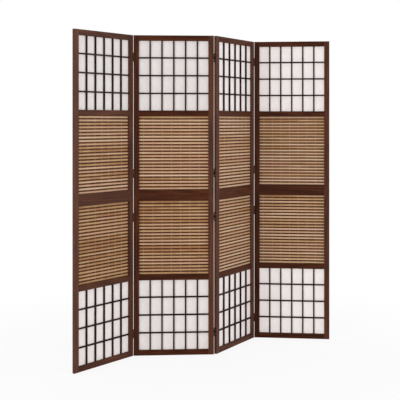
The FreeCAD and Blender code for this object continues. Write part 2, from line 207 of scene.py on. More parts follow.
@dataclass(frozen=True)
class HingeSizes:
    """Driving sizes of a butt hinge, in metres."""

    inset: float = 0.120
    front_offset: float = 0.0008
    rear_offset: float = 0.0022
    height: float = 0.048
    reach: float = 0.0125
    thick: float = 0.0012
    play: float = 0.0003
    eye: float = 0.0019
    bore: float = 0.0010
    pin: float = 0.00095
    eye_gap: float = 0.0003
    eye_sides: int = 8
    notch_spare: float = 0.0010
    pin_head: float = 0.0014
    screw: float = 0.0022
    screw_spacing: float = 0.023
    screw_reach: float = 0.0075

    @property
    def room(self) -> float:
        """Radius round a pin that its eyes need, which the solids draw with flats."""
        return self.eye / math.cos(math.pi / self.eye_sides) + self.eye_gap

    def offset(self, junction: int) -> float:
        """Distance from a junction's pins to the faces that they lie before."""
        return self.rear_offset if junction == 1 else self.front_offset

    def feet(self, panel: PanelSizes) -> Array:
        """Heights of the lower ends of a junction's four hinges.

        Args:
            panel: The panels that they join.

        Returns:
            The four heights above the floor.
        """
        low = self.inset - self.height / 2
        high = panel.half - self.inset - self.height / 2
        return np.array([low, high, low + panel.half, high + panel.half])


def stand_panels(panel: PanelSizes, hinge: HingeSizes) -> list[Place]:
    """Places of the four panels, chained over their hinge pins.

    Args:
        panel: The panels' sizes.
        hinge: The hinges' sizes.

    Returns:
        One place per panel, with the middle of the whole floor rectangle at the origin.
    """
    turns = [math.radians(turn) for turn in panel.turns]
    places = [Place(0.0, 0.0, turns[0])]
    for junction, turn in enumerate(turns[1:]):
        back = pin_back(junction, panel, hinge)
        pin = places[-1].further(panel.width + panel.gap / 2, back)
        places.append(Place(pin.x, pin.y, turn).further(panel.gap / 2, -back))
    # A panel's upright arrises are cut off, so the ends of the cuts bound the rectangle.
    ease = panel.arris
    ends = [(0.0, ease), (panel.width, -ease)]
    sides = [(0.0, ease), (panel.thickness, -ease)]
    cuts = [(across + inwards, back) for across, inwards in ends for back, _ in sides]
    cuts += [(across, back + inwards) for across, _ in ends for back, inwards in sides]
    corners = [place.further(across, back) for place in places for across, back in cuts]
    middle_x = (min(c.x for c in corners) + max(c.x for c in corners)) / 2
    middle_y = (min(c.y for c in corners) + max(c.y for c in corners)) / 2
    return [Place(place.x - middle_x, place.y - middle_y, place.turn) for place in places]


def pin_back(junction: int, panel: PanelSizes, hinge: HingeSizes) -> float:
    """How far behind the front faces a junction's pin lies.

    Args:
        junction: 0, 1 or 2, from the left. The middle one's pin is behind the panels.
        panel: The panels' sizes.
        hinge: The hinges' sizes.

    Returns:
        The distance, below zero in front of the faces.
    """
    offset = hinge.offset(junction)
    return panel.thickness + offset if junction == 1 else -offset


# ---------------------------------------------------------------- surfaces


def rounded_outline(corners: list[Corner], radius: float, steps: int = 2) -> tuple[Array, Array]:
    """Closed outline with rounded corners and a point halfway along each side.

    A corner's curve leaves the side before it one radius early and joins the side after it
    one radius late. Its points are the mean of those two ends and the corner itself, with
    weights (1 - t) squared, t squared and 2 t (1 - t).

    Args:
        corners: The outline's corners in order. A third number is a corner's own radius.
        radius: Radius of the other corners.
        steps: Pieces in each corner's curve.

    Returns:
        The outline's points, and each one's distance from the nearest corner.
    """
    places = np.array([corner[:2] for corner in corners])
    radii = np.array([corner[2] if len(corner) > 2 else radius for corner in corners])[:, None]
    sides = np.roll(places, -1, axis=0) - places
    lengths = np.linalg.norm(sides, axis=1, keepdims=True)
    ahead = sides / lengths
    t = np.linspace(0.0, 1.0, steps + 1)[None, :, None]
    start = (places - np.roll(ahead, 1, axis=0) * radii)[:, None]
    end = (places + ahead * radii)[:, None]
    curves = (1 - t) ** 2 * start + 2 * t * (1 - t) * places[:, None] + t**2 * end
    middles = (places + sides / 2)[:, None]
    points = np.concatenate((curves, middles), axis=1).reshape(-1, 2)
    rim = np.concatenate((np.zeros((len(places), steps + 1)), lengths / 2), axis=1).reshape(-1)
    return points, rim


def circle(count: int) -> Array:
    """Points of a unit circle: the cosine and sine of equal turns.

    Args:
        count: How many points.

    Returns:
        An array of count pairs.
    """
    turns = np.linspace(0.0, 2 * np.pi, count, endpoint=False)
    return np.stack((np.cos(turns), np.sin(turns)), axis=-1)


def laid(sections: Array, along: Array, run: Run) -> Array:
    """Turns bars' sections and stations into points in panel axes.

    A section's first number is the bar's width and its second the distance back. The width
    lies across the panel in an upright bar and up it in a crosswise one.

    Args:
        sections: Array of shape (bars, stations, section points, 2).
        along: Places of the stations along the bars, of shape (bars, stations).
        run: The way that the bars run.

    Returns:
        Points of shape (bars, stations, section points, 3).
    """
    wide, back = sections[..., 0], sections[..., 1]
    length = np.broadcast_to(along[..., None], wide.shape)
    if run is Run.UP:
        return np.stack((wide, back, length), axis=-1)
    return np.stack((length, back, wide), axis=-1)


def stretches(low: float, high: float, *cuts: list[Span]) -> tuple[Array, list[tuple[bool, ...]]]:
    """Stations of a bar whose section changes where kinds of cut begin and end.

    Args:
        low: The bar's lower end.
        high: Its upper end.
        *cuts: For each kind of cut, the stretches that have it.

    Returns:
        Places of the stations, two for every stretch between two changes, and which of the
        kinds each station has.
    """
    ends = {low, high, *(end for spans in cuts for span in spans for end in span)}
    marks = sorted(end for end in ends if low <= end <= high)
    places, states = [], []
    for start, end in zip(marks, marks[1:]):
        middle = (start + end) / 2
        state = tuple(any(span[0] < middle < span[1] for span in spans) for spans in cuts)
        places += [start, end]
        states += [state, state]
    return np.array(places), states


@dataclass
class Piece:
    """Closed shapes gathered into one mesh, with what their finish reads from them."""

    name: str
    body: str
    place: Place
    seed: int
    points: list[Array] = field(default_factory=list)
    grain: list[Array] = field(default_factory=list)
    rim: list[Array] = field(default_factory=list)
    tone: list[Array] = field(default_factory=list)
    faces: list[list[int]] = field(default_factory=list)
    count: int = 0

    def __post_init__(self) -> None:
        """Starts the piece's own random numbers."""
        self.random = np.random.default_rng(self.seed)

    def add(
        self,
        grids: Array,
        grain: Array,
        rim: Array | float = 1.0,
        looped: bool = False,
        tone: Array | float | None = None,
    ) -> None:
        """Adds shapes, each a closed section carried along stations.

        A quad joins neighbouring points of neighbouring stations. The ends are closed by one
        face each, unless the stations go round. Points that lie in one place are made one,
        which leaves some quads with three corners and others with no area, and those go. A
        shape whose volume comes out below zero is inside out, so its faces are turned.

        Args:
            grids: Points in the place's axes, of shape (shapes, stations, section points, 3).
            grain: The same points in axes of the material, along its fibres first.
            rim: Distances from the nearest arris, in a shape that fits the first three sizes.
            looped: Whether the last station joins the first.
            tone: The shapes' places between their finish's darkest, 0, and lightest, 1. Where
                there is none, they are random.
        """
        shapes, stations, ring, _ = grids.shape
        numbers = np.arange(stations * ring).reshape(stations, ring)
        ahead = np.roll(numbers, -1, axis=0) if looped else numbers[1:]
        here = numbers if looped else numbers[:-1]
        quads = np.stack((here, np.roll(here, -1, axis=1), np.roll(ahead, -1, axis=1), ahead), axis=-1)
        caps = np.empty((0, ring), int) if looped else np.stack((numbers[0, ::-1], numbers[-1]))
        flat = grids.reshape(shapes, -1, 3)
        rounded = np.round(flat[0], WELD_DIGITS)
        _, kept, same = np.unique(rounded, axis=0, return_index=True, return_inverse=True)
        same = same.reshape(-1)
        flat = flat[:, kept]
        kinds = [*without_doubles(same[quads.reshape(-1, 4)]), same[caps]]
        turned = sum(signed_volume(flat, kind) for kind in kinds) < 0
        starts = self.count + np.arange(shapes) * len(kept)
        for kind in kinds:
            faces = starts[:, None, None] + kind[None]
            faces[turned] = faces[turned][..., ::-1]
            self.faces += faces.reshape(-1, kind.shape[1]).tolist()
        offsets = self.random.uniform(0.0, GRAIN_SPREAD, (shapes, 1, 3))
        self.points.append(flat.reshape(-1, 3))
        self.grain.append((grain.reshape(shapes, -1, 3)[:, kept] + offsets).reshape(-1, 3))
        self.rim.append(np.broadcast_to(rim, grids.shape[:3]).reshape(shapes, -1)[:, kept].reshape(-1))
        tones = self.random.uniform(0.0, 1.0, shapes) if tone is None else tone
        self.tone.append(np.repeat(np.broadcast_to(tones, shapes), len(kept)))
        self.count += shapes * len(kept)

    def add_bars(
        self,
        sections: Array,
        along: Array,
        run: Run,
        rim: Array | float = 1.0,
        tone: Array | float | None = None,
    ) -> None:
        """Adds bars, whose fibres run along them.

        Args:
            sections: Sections of shape (bars, stations, section points, 2).
            along: Places of the stations, of shape (bars, stations).
            run: The way that the bars run.
            rim: Distances from the nearest arris.
            tone: The bars' places between their finish's darkest and lightest.
        """
        length = np.broadcast_to(along[..., None, None], (*sections.shape[:3], 1))
        grain = np.concatenate((length, sections), axis=-1)
        self.add(laid(sections, along, run), grain, rim, tone=tone)

    def build(self, finish: "Finish", nodes: tuple[str, ...] = (), smooth: float = 0.0) -> bpy.types.Object:
        """Makes the object, dresses it and ties it to its body.

        Args:
            finish: The material.
            nodes: Solids of the frame that the piece stands for.
            smooth: Angle in degrees up to which faces shade as one, or 0 for flat faces.

        Returns:
            The finished object, with its place in its mesh.
        """
        mesh = bpy.data.meshes.new(self.name)
        mesh.from_pydata(self.place.to_row(np.concatenate(self.points)).tolist(), [], self.faces)
        for name, kind, parts in (
            ("grain", "FLOAT_VECTOR", self.grain),
            ("rim", "FLOAT", self.rim),
            ("tone", "FLOAT", self.tone),
        ):
            values = np.concatenate(parts).astype(np.float32).reshape(-1)
            attribute = mesh.attributes.new(name, kind, "POINT")
            attribute.data.foreach_set("vector" if kind == "FLOAT_VECTOR" else "value", values)
        if smooth:
            mesh.shade_smooth()
            mesh.set_sharp_from_angle(angle=math.radians(smooth))
        mesh.materials.append(finish.material())
        piece = bpy.data.objects.new(self.name, mesh)
        bpy.context.scene.collection.objects.link(piece)
        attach(piece, self.body)
        if nodes:
            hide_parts(*nodes)
        LOG.info("%s: %d faces", self.name, len(self.faces))
        return piece


def without_doubles(quads: Faces) -> list[Faces]:
    """Sorts quads by how many of their corners are one point with the next.

    Args:
        quads: Faces of shape (faces, 4).

    Returns:
        The quads with four corners, and for each place in a quad those that have the corner
        there and the next in one, as triangles.
    """
    doubled = quads == np.roll(quads, -1, axis=1)
    single = doubled.sum(axis=1) == 1
    whole = [quads[~doubled.any(axis=1)]]
    return whole + [np.delete(quads[single & doubled[:, place]], place, axis=1) for place in range(4)]


def signed_volume(points: Array, faces: Faces) -> Array:
    """Volume under faces, by the sum over their triangles of the first corner's dot product
    with the cross product of the other two.

    Args:
        points: Points of shape (shapes, points, 3).
        faces: Faces of shape (faces, corners), the same for every shape.

    Returns:
        One volume per shape, of one sign where the faces point outwards.
    """
    if not len(faces):
        return np.zeros(len(points))
    corners = points[:, faces]
    first = corners[:, :, :1]
    crossed = np.cross(corners[:, :, 1:-1], corners[:, :, 2:])
    return (first * crossed).sum(axis=(1, 2, 3)) / 6


# ---------------------------------------------------------------- finishes


class NodeTree:
    """Nodes under way, in a material or in the world."""

    def __init__(self, tree: bpy.types.NodeTree) -> None:
        """Starts with an empty tree.

        Args:
            tree: Blender's own tree.
        """
        self.tree = tree
        self.tree.nodes.clear()

    def node(self, kind: str, inputs: dict[int | str, object], **settings: object) -> bpy.types.Node:
        """Adds a node.

        Args:
            kind: The node's type, without its usual beginning.
            inputs: Values or sockets for its inputs, by name or number.
            **settings: Values of its other properties.

        Returns:
            The node.
        """
        node = self.tree.nodes.new(f"ShaderNode{kind}")
        for name, value in settings.items():
            setattr(node, name, value)
        for name, value in inputs.items():
            if isinstance(value, Socket):
                self.tree.links.new(value, node.inputs[name])
            else:
                node.inputs[name].default_value = value
        return node

    def read(self, name: str, output: str = "Fac") -> Socket:
        """What one of a piece's own attributes holds."""
        return self.node("Attribute", {}, attribute_name=name).outputs[output]

    def step(self, how: str, a: object, b: object = 0.0) -> Socket:
        """The outcome of one step of arithmetic, by Blender's word for it."""
        return self.node("Math", {0: a, 1: b}, operation=how).outputs[0]

    def plus(self, a: object, b: object) -> Socket:
        """The sum of two numbers or sockets."""
        return self.step("ADD", a, b)

    def times(self, a: object, b: object) -> Socket:
        """The product of two numbers or sockets."""
        return self.step("MULTIPLY", a, b)

    def noise(self, vector: Socket, waves: Waves, detail: float = 2.0, bend: float = 0.0) -> Socket:
        """Smooth noise with a spacing of its own in each direction.

        Args:
            vector: Where it is read.
            waves: Waves per metre in each direction.
            detail: How many finer layers it has.
            bend: How far it is pulled out of shape.

        Returns:
            Its value from 0 to 1.
        """
        where = self.node("VectorMath", {0: vector, 1: waves}, operation="MULTIPLY").outputs[0]
        inputs = {"Vector": where, "Scale": 1.0, "Detail": detail, "Distortion": bend}
        return self.node("TexNoise", inputs).outputs["Fac"]

    def band(self, value: object, span: Span, top: float = 1.0, bottom: float = 0.0) -> Socket:
        """A value spread smoothly, from the bottom at a span's first end to the top at its second."""
        inputs = {"Value": value, "From Min": span[0], "From Max": span[1], "To Min": bottom, "To Max": top}
        return self.node("MapRange", inputs, interpolation_type="SMOOTHSTEP").outputs[0]

    def spread(self, value: object, low: float, high: float) -> Socket:
        """A value from 0 to 1 carried evenly to the stretch from low to high."""
        return self.node("MapRange", {"Value": value, "To Min": low, "To Max": high}).outputs[0]

    def ramp(self, value: object, stops: Sequence[float], colours: Sequence[Colour]) -> Socket:
        """A colour read off a scale.

        Args:
            value: The place on the scale.
            stops: Places of the colours.
            colours: The colours.

        Returns:
            The colour's socket.
        """
        node = self.node("ValToRGB", {0: value})
        scale = node.color_ramp.elements
        while len(scale) < len(stops):
            scale.new(1.0)
        for mark, place, colour in zip(scale, stops, colours):
            mark.position = place
            mark.color = (*colour, 1.0)
        return node.outputs[0]

    def mixed(self, share: object, first: object, second: object) -> Socket:
        """Two colours or sockets mixed, by the share of the second."""
        a, b = (one if isinstance(one, Socket) else (*one, 1.0) for one in (first, second))
        return self.node("Mix", {0: share, 6: a, 7: b}, data_type="RGBA").outputs[2]

    def toned(self, colour: Socket, value: Socket, depth: float) -> Socket:
        """A colour made darker, where the value is 0, or lighter, where it is 1, by the depth at most."""
        bright = self.spread(value, 1.0 - depth, 1.0 + depth)
        return self.node("HueSaturation", {"Value": bright, "Color": colour}).outputs[0]

    def plain_rays(self) -> Socket:
        """Tells the rays that only show a surface from those that light something.

        Returns:
            1 on rays from the camera, mirrors and clear surfaces, or else 0.
        """
        rays = self.node("LightPath", {}).outputs
        seen = self.step("MAXIMUM", rays["Is Camera Ray"], rays["Is Glossy Ray"])
        return self.step("MAXIMUM", seen, rays["Is Transmission Ray"])


class Recipe(NodeTree):
    """A material under way: a shader and the nodes that feed it."""

    def __init__(self, name: str) -> None:
        """Starts an empty material with its shader.

        Args:
            name: The material's name.
        """
        self.material = bpy.data.materials.new(name)
        self.material.use_nodes = True
        super().__init__(self.material.node_tree)
        self.shader = self.node("BsdfPrincipled", {})
        self.output = self.node("OutputMaterial", {"Surface": self.shader.outputs[0]})

    def bump(self, height: Socket, depth: float, strength: float) -> None:
        """Raises and sinks the surface in its shading, by a depth in metres."""
        node = self.node("Bump", {"Height": height, "Distance": depth, "Strength": strength})
        self.tree.links.new(node.outputs[0], self.shader.inputs["Normal"])

    def feed(self, **inputs: object) -> None:
        """Sets the shader's inputs.

        Args:
            **inputs: Values or sockets, by the input's name with _ for each space.
        """
        for name, value in inputs.items():
            socket = self.shader.inputs[name.replace("_", " ")]
            if isinstance(value, Socket):
                self.tree.links.new(value, socket)
            else:
                socket.default_value = value

    def blend_in(self, share: object, other: bpy.types.Node) -> None:
        """Lets a second shader take a share of the surface."""
        mix = self.node("MixShader", {0: share, 1: self.shader.outputs[0], 2: other.outputs[0]})
        self.tree.links.new(mix.outputs[0], self.output.inputs["Surface"])


@dataclass(frozen=True)
class Finish:
    """A named finish. Its material is made once.

    In every finish, waves are per metre, bends pull a noise out of shape, spans are the two
    ends of a stretch, stops are places on a colour scale, and a relief is a depth in metres and
    how much of it shows.
    """

    name: str
    slot: str

    def material(self) -> bpy.types.Material:
        """The finish's material, made on first use."""
        return bpy.data.materials.get(self.name) or self.make(Recipe(self.name))

    def make(self, recipe: Recipe) -> bpy.types.Material:
        """Fills in the recipe.

        Args:
            recipe: The empty recipe.

        Returns:
            Its material.
        """
        raise NotImplementedError


@dataclass(frozen=True)
class StainedWood(Finish):
    """Softwood under a satin stain: growth rings, fibres, pores and rubbed arrises. Boards of a lighter tone
    are also mixed towards a greyer colour, a painted sheen."""

    dark: Colour = (0.0225, 0.0054, 0.0020)
    middle: Colour = (0.0510, 0.0126, 0.0042)
    light: Colour = (0.1030, 0.0300, 0.0112)
    stops: tuple[float, ...] = (0.30, 0.58, 0.88)
    ring_waves: Waves = (0.9, 17.0, 17.0)
    ring_bend: float = 0.35
    ring_turns: float = 62.0
    ring_share: float = 0.10
    fibre_waves: Waves = (9.0, 620.0, 620.0)
    fibre_bend: float = 0.1
    fibre_share: float = 0.60
    patch_waves: Waves = (3.2, 42.0, 42.0)
    patch_share: float = 0.55
    pore_waves: Waves = (70.0, 1900.0, 1900.0)
    pore_span: Span = (0.60, 0.72)
    pore_share: float = 0.55
    pore_depth: float = 0.7
    tone_depth: float = 0.25
    # Painted sheen: the greyer colour that boards of a lighter tone are mixed towards.
    painted_sheen: Colour = (0.23, 0.15, 0.12)
    painted_sheen_span: Span = (0.40, 0.95)
    painted_sheen_share: float = 0.12
    rubbed: Colour = (0.17, 0.062, 0.028)
    rub_waves: Waves = (38.0, 160.0, 160.0)
    rub_span: Span = (0.50, 0.66)
    rim_span: Span = (0.0016, 0.0002)
    rubbing: float = 0.30
    relief: Span = (0.00012, 0.6)
    rough_span: Span = (0.36, 0.58)
    gloss: float = 0.06

    def make(self, recipe: Recipe) -> bpy.types.Material:
        """Rings are the sine of a slow noise, so they close into long flames along a board.

        Args:
            recipe: The empty recipe.

        Returns:
            Its material.
        """
        grain = recipe.read("grain", "Vector")
        slow = recipe.noise(grain, self.ring_waves, bend=self.ring_bend)
        rings = recipe.step("SINE", recipe.times(slow, self.ring_turns))
        fibres = recipe.noise(grain, self.fibre_waves, detail=4.0, bend=self.fibre_bend)
        patches = recipe.noise(grain, self.patch_waves, detail=3.0)
        pores = recipe.band(recipe.noise(grain, self.pore_waves), self.pore_span)
        shade = recipe.plus(recipe.times(rings, self.ring_share), recipe.times(fibres, self.fibre_share))
        shade = recipe.plus(shade, recipe.times(patches, self.patch_share))
        colour = recipe.ramp(shade, self.stops, (self.dark, self.middle, self.light))
        colour = recipe.mixed(recipe.times(pores, self.pore_share), colour, self.dark)
        tone = recipe.read("tone")
        colour = recipe.toned(colour, tone, self.tone_depth)
        # Painted sheen: boards of a lighter tone are mixed towards a greyer colour.
        colour = recipe.mixed(recipe.band(tone, self.painted_sheen_span, self.painted_sheen_share), colour, self.painted_sheen)
        near = recipe.band(recipe.read("rim"), self.rim_span)
        rub = recipe.band(recipe.noise(grain, self.rub_waves, detail=3.0), self.rub_span, self.rubbing)
        colour = recipe.mixed(recipe.times(near, rub), colour, self.rubbed)
        recipe.bump(recipe.step("SUBTRACT", fibres, recipe.times(pores, self.pore_depth)), *self.relief)
        rough = recipe.spread(fibres, *self.rough_span)
        recipe.feed(Base_Color=colour, Roughness=rough, Specular_IOR_Level=self.gloss)
        return recipe.material


@dataclass(frozen=True)
class FibrePaper(Finish):
    """Off-white window paper with long fibres and slow clouds, lit through from behind."""

    pale: Colour = (0.895, 0.856, 0.843)
    cloud: Colour = (0.870, 0.830, 0.817)
    stops: tuple[float, ...] = (0.35, 0.62)
    cloud_waves: Waves = (26.0, 26.0, 26.0)
    cloud_bend: float = 0.6
    pulp_waves: Waves = (900.0, 900.0, 900.0)
    fibre: Colour = (0.92, 0.89, 0.88)
    fibre_waves: tuple[Waves, ...] = ((55.0, 120.0, 60.0), (130.0, 48.0, 60.0))
    fibre_bends: tuple[float, ...] = (1.5, 1.9)
    fibre_span: Span = (0.014, 0.003)
    fibre_share: float = 0.45
    fibre_height: float = 0.6
    tone_depth: float = 0.05
    relief: Span = (0.00008, 0.5)
    roughness: float = 0.85
    gloss: float = 0.1
    through: float = 0.42

    def make(self, recipe: Recipe) -> bpy.types.Material:
        """Fibres lie where a bent noise passes through its middle value, so they curl.

        Args:
            recipe: The empty recipe.

        Returns:
            Its material.
        """
        grain = recipe.read("grain", "Vector")
        clouds = recipe.noise(grain, self.cloud_waves, detail=4.0, bend=self.cloud_bend)
        pulp = recipe.noise(grain, self.pulp_waves, detail=3.0)
        kinds = zip(self.fibre_waves, self.fibre_bends)
        fibres = recipe.step("MAXIMUM", *(self.fibres(recipe, grain, *kind) for kind in kinds))
        colour = recipe.ramp(clouds, self.stops, (self.cloud, self.pale))
        colour = recipe.mixed(recipe.times(fibres, self.fibre_share), colour, self.fibre)
        # The tone lightens or darkens the sheet; the screen's sheets use it for painted light.
        colour = recipe.toned(colour, recipe.read("tone"), self.tone_depth)
        recipe.bump(recipe.plus(recipe.times(fibres, self.fibre_height), pulp), *self.relief)
        recipe.feed(Base_Color=colour, Roughness=self.roughness, Specular_IOR_Level=self.gloss)
        recipe.blend_in(self.through, recipe.node("BsdfTranslucent", {"Color": colour}))
        return recipe.material

    def fibres(self, recipe: Recipe, grain: Socket, waves: Waves, bend: float) -> Socket:
        """1 on the fibres of one direction, and 0 between them."""
        away = recipe.step("SUBTRACT", recipe.noise(grain, waves, detail=0.0, bend=bend), 0.5)
        return recipe.band(recipe.step("ABSOLUTE", away), self.fibre_span)


@dataclass(frozen=True)
class SplitSlat(Finish):
    """Pale split wood, each slat of its own colour, browner along its edges: partly the wood's own colour,
    partly painted shade along the gaps between slats.
    """

    colours: tuple[Colour, ...] = (
        (0.325, 0.160, 0.068),
        (0.420, 0.260, 0.124),
        (0.455, 0.265, 0.165),
        (0.495, 0.328, 0.190),
        (0.550, 0.376, 0.260),
    )
    ends: Span = (0.05, 0.95)
    # Brown along the slats' edges: partly their own colour, partly painted shade along the gaps.
    edge: Colour = (0.150, 0.062, 0.020)
    edge_stain_and_shade_span: Span = (0.0024, 0.0)
    edge_stain_and_shade_share: float = 0.85
    stain_waves: Waves = (7.0, 40.0, 40.0)
    stain_bend: float = 0.4
    fibre_waves: Waves = (26.0, 1500.0, 1500.0)
    fibre_depth: float = 0.22
    relief: Span = (0.00010, 0.6)
    roughness: float = 0.6
    gloss: float = 0.15

    def make(self, recipe: Recipe) -> bpy.types.Material:
        """The slat's tone picks its colour. Fibres and slow stains run along it.

        Args:
            recipe: The empty recipe.

        Returns:
            Its material.
        """
        grain = recipe.read("grain", "Vector")
        stain = recipe.noise(grain, self.stain_waves, detail=3.0, bend=self.stain_bend)
        fibres = recipe.noise(grain, self.fibre_waves, detail=3.0)
        tone = recipe.plus(recipe.read("tone"), recipe.step("SUBTRACT", stain, 0.5))
        colour = recipe.ramp(tone, np.linspace(*self.ends, len(self.colours)), self.colours)
        # Edges darkened towards brown: the wood's own colour and painted shade along the gaps.
        near = recipe.band(recipe.read("rim"), self.edge_stain_and_shade_span, self.edge_stain_and_shade_share)
        colour = recipe.toned(recipe.mixed(near, colour, self.edge), fibres, self.fibre_depth)
        recipe.bump(fibres, *self.relief)
        recipe.feed(Base_Color=colour, Roughness=self.roughness, Specular_IOR_Level=self.gloss)
        return recipe.material


@dataclass(frozen=True)
class DarkStrip(Finish):
    """Dark brown split wood between the pale slats."""

    dark: Colour = (0.022, 0.0050, 0.0015)
    light: Colour = (0.105, 0.0270, 0.0075)
    stops: tuple[float, ...] = (0.30, 0.70)
    fibre_waves: Waves = (20.0, 1300.0, 1300.0)
    stain_waves: Waves = (9.0, 60.0, 60.0)
    stain_bend: float = 0.3
    tone_depth: float = 0.25
    relief: Span = (0.00010, 0.6)
    roughness: float = 0.55
    gloss: float = 0.1

    def make(self, recipe: Recipe) -> bpy.types.Material:
        """Fibres run along the strip, and its tone lightens or darkens it.

        Args:
            recipe: The empty recipe.

        Returns:
            Its material.
        """
        grain = recipe.read("grain", "Vector")
        fibres = recipe.noise(grain, self.fibre_waves, detail=3.0)
        stain = recipe.noise(grain, self.stain_waves, detail=3.0, bend=self.stain_bend)
        shade = recipe.times(recipe.plus(fibres, stain), 0.5)
        colour = recipe.ramp(shade, self.stops, (self.dark, self.light))
        colour = recipe.toned(colour, recipe.read("tone"), self.tone_depth)
        recipe.bump(fibres, *self.relief)
        recipe.feed(Base_Color=colour, Roughness=self.roughness, Specular_IOR_Level=self.gloss)
        return recipe.material


@dataclass(frozen=True)
class CottonThread(Finish):
    """Pale twisted cotton. Twist is in radians per metre."""

    pale: Colour = (0.55, 0.44, 0.31)
    shade: Colour = (0.34, 0.25, 0.16)
    twist: float = 9000.0
    plies: float = 2.0
    relief: Span = (0.0001, 0.7)
    roughness: float = 0.9
    gloss: float = 0.2

    def make(self, recipe: Recipe) -> bpy.types.Material:
        """The plies are a sine over the length plus the way round the thread.

        Args:
            recipe: The empty recipe.

        Returns:
            Its material.
        """
        length, around, _ = recipe.node("SeparateXYZ", {0: recipe.read("grain", "Vector")}).outputs
        turn = recipe.plus(recipe.times(length, self.twist), recipe.times(around, self.plies))
        ply = recipe.plus(recipe.times(recipe.step("SINE", turn), 0.5), 0.5)
        colour = recipe.mixed(ply, self.shade, self.pale)
        recipe.bump(ply, *self.relief)
        recipe.feed(Base_Color=colour, Roughness=self.roughness, Specular_IOR_Level=self.gloss)
        return recipe.material


@dataclass(frozen=True)
class BronzedSteel(Finish):
    """Steel browned nearly black, rubbed bright in places."""

    black: Colour = (0.020, 0.013, 0.010)
    brown: Colour = (0.042, 0.029, 0.023)
    stops: tuple[float, ...] = (0.35, 0.65)
    mottle_waves: Waves = (700.0, 700.0, 700.0)
    bright: Colour = (0.16, 0.12, 0.09)
    wear_waves: Waves = (150.0, 150.0, 150.0)
    wear_span: Span = (0.52, 0.72)
    wear: float = 0.3
    relief: Span = (0.00004, 0.5)
    metal: float = 0.75
    rough_span: Span = (0.32, 0.57)

    def make(self, recipe: Recipe) -> bpy.types.Material:
        """A fine mottle shifts the colour and the gloss, and slow noise rubs it bright.

        Args:
            recipe: The empty recipe.

        Returns:
            Its material.
        """
        grain = recipe.read("grain", "Vector")
        mottle = recipe.noise(grain, self.mottle_waves, detail=4.0)
        worn = recipe.band(recipe.noise(grain, self.wear_waves, detail=3.0), self.wear_span, self.wear)
        colour = recipe.ramp(mottle, self.stops, (self.black, self.brown))
        colour = recipe.mixed(worn, colour, self.bright)
        recipe.bump(mottle, *self.relief)
        rough = recipe.spread(mottle, *self.rough_span)
        recipe.feed(Base_Color=colour, Metallic=self.metal, Roughness=rough)
        return recipe.material


@dataclass(frozen=True)
class SawnWood(Finish):
    """Unstained wood for hidden solids, read in the screen's own coordinates."""

    dark: Colour = (0.20, 0.11, 0.06)
    light: Colour = (0.40, 0.27, 0.16)
    stops: tuple[float, ...] = (0.35, 0.65)
    fibre_waves: Waves = (500.0, 500.0, 9.0)
    fibre_bend: float = 0.2
    slow_waves: Waves = (40.0, 40.0, 3.0)
    relief: Span = (0.0002, 0.6)
    roughness: float = 0.7

    def make(self, recipe: Recipe) -> bpy.types.Material:
        """Fibres stand upright, as the tongues' grain does.

        Args:
            recipe: The empty recipe.

        Returns:
            Its material.
        """
        where = recipe.node("TexCoord", {}).outputs["Object"]
        fibres = recipe.noise(where, self.fibre_waves, detail=4.0, bend=self.fibre_bend)
        shade = recipe.times(recipe.plus(fibres, recipe.noise(where, self.slow_waves)), 0.5)
        colour = recipe.ramp(shade, self.stops, (self.dark, self.light))
        recipe.bump(fibres, *self.relief)
        recipe.feed(Base_Color=colour, Roughness=self.roughness)
        return recipe.material


@dataclass(frozen=True)
class PaleFloor(Finish):
    """A matte floor that the camera sees nearly white, with the object's shadow on it. Near
    and far are distances from the middle of the screen."""

    grey: Colour = (0.88, 0.88, 0.88)
    white_share: float = 0.86
    near: float = 0.8
    far: float = 2.2
    roughness: float = 0.9

    def make(self, recipe: Recipe) -> bpy.types.Material:
        """Rays from the camera, mirrors and clear surfaces see a share of plain white, which
        grows with the distance from the screen until nothing else is left.

        Args:
            recipe: The empty recipe.

        Returns:
            Its material.
        """
        recipe.feed(Base_Color=(*self.grey, 1.0), Roughness=self.roughness)
        where = recipe.node("TexCoord", {}).outputs["Object"]
        away = recipe.node("VectorMath", {0: where}, operation="LENGTH").outputs["Value"]
        white = recipe.node("Emission", {"Color": WHITE, "Strength": 1.0})
        fade = recipe.band(away, (self.near, self.far), bottom=self.white_share)
        recipe.blend_in(recipe.times(recipe.plain_rays(), fade), white)
        return recipe.material


FRAME_WOOD = StainedWood("frame wood", "frame_wood")
LATTICE_WOOD = StainedWood(
    "lattice wood",
    "lattice_wood",
    dark=(0.008, 0.0028, 0.0022),
    middle=(0.018, 0.0064, 0.0048),
    light=(0.038, 0.0140, 0.0105),
    rubbed=(0.07, 0.028, 0.019),
    rubbing=0.2,
    painted_sheen_share=0.01,
    gloss=0.05,
)
BEAD_WOOD = StainedWood("bead wood", "bead_wood", rubbing=0.2)
TONGUE_WOOD = SawnWood("sawn wood", "tongue_wood")
WINDOW_PAPER = FibrePaper("window paper", "paper")
PALE_SLAT = SplitSlat("pale slat", "slat_wood")
DARK_STRIP = DarkStrip("dark strip", "weft_wood")
WARP_COTTON = CottonThread("warp cotton", "slat_wood")
HINGE_STEEL = BronzedSteel("hinge steel", "hinge_metal")
PIN_STEEL = BronzedSteel(
    "pin steel",
    "pin_metal",
    black=(0.03, 0.024, 0.019),
    brown=(0.06, 0.05, 0.04),
    wear=0.5,
)
SCREW_STEEL = BronzedSteel(
    "screw steel",
    "hinge_metal",
    black=(0.14, 0.12, 0.10),
    brown=(0.24, 0.21, 0.18),
    bright=(0.45, 0.41, 0.36),
    wear=0.6,
)
STUDIO_FLOOR = PaleFloor("pale floor", "")


# ---------------------------------------------------------------- a panel's pieces


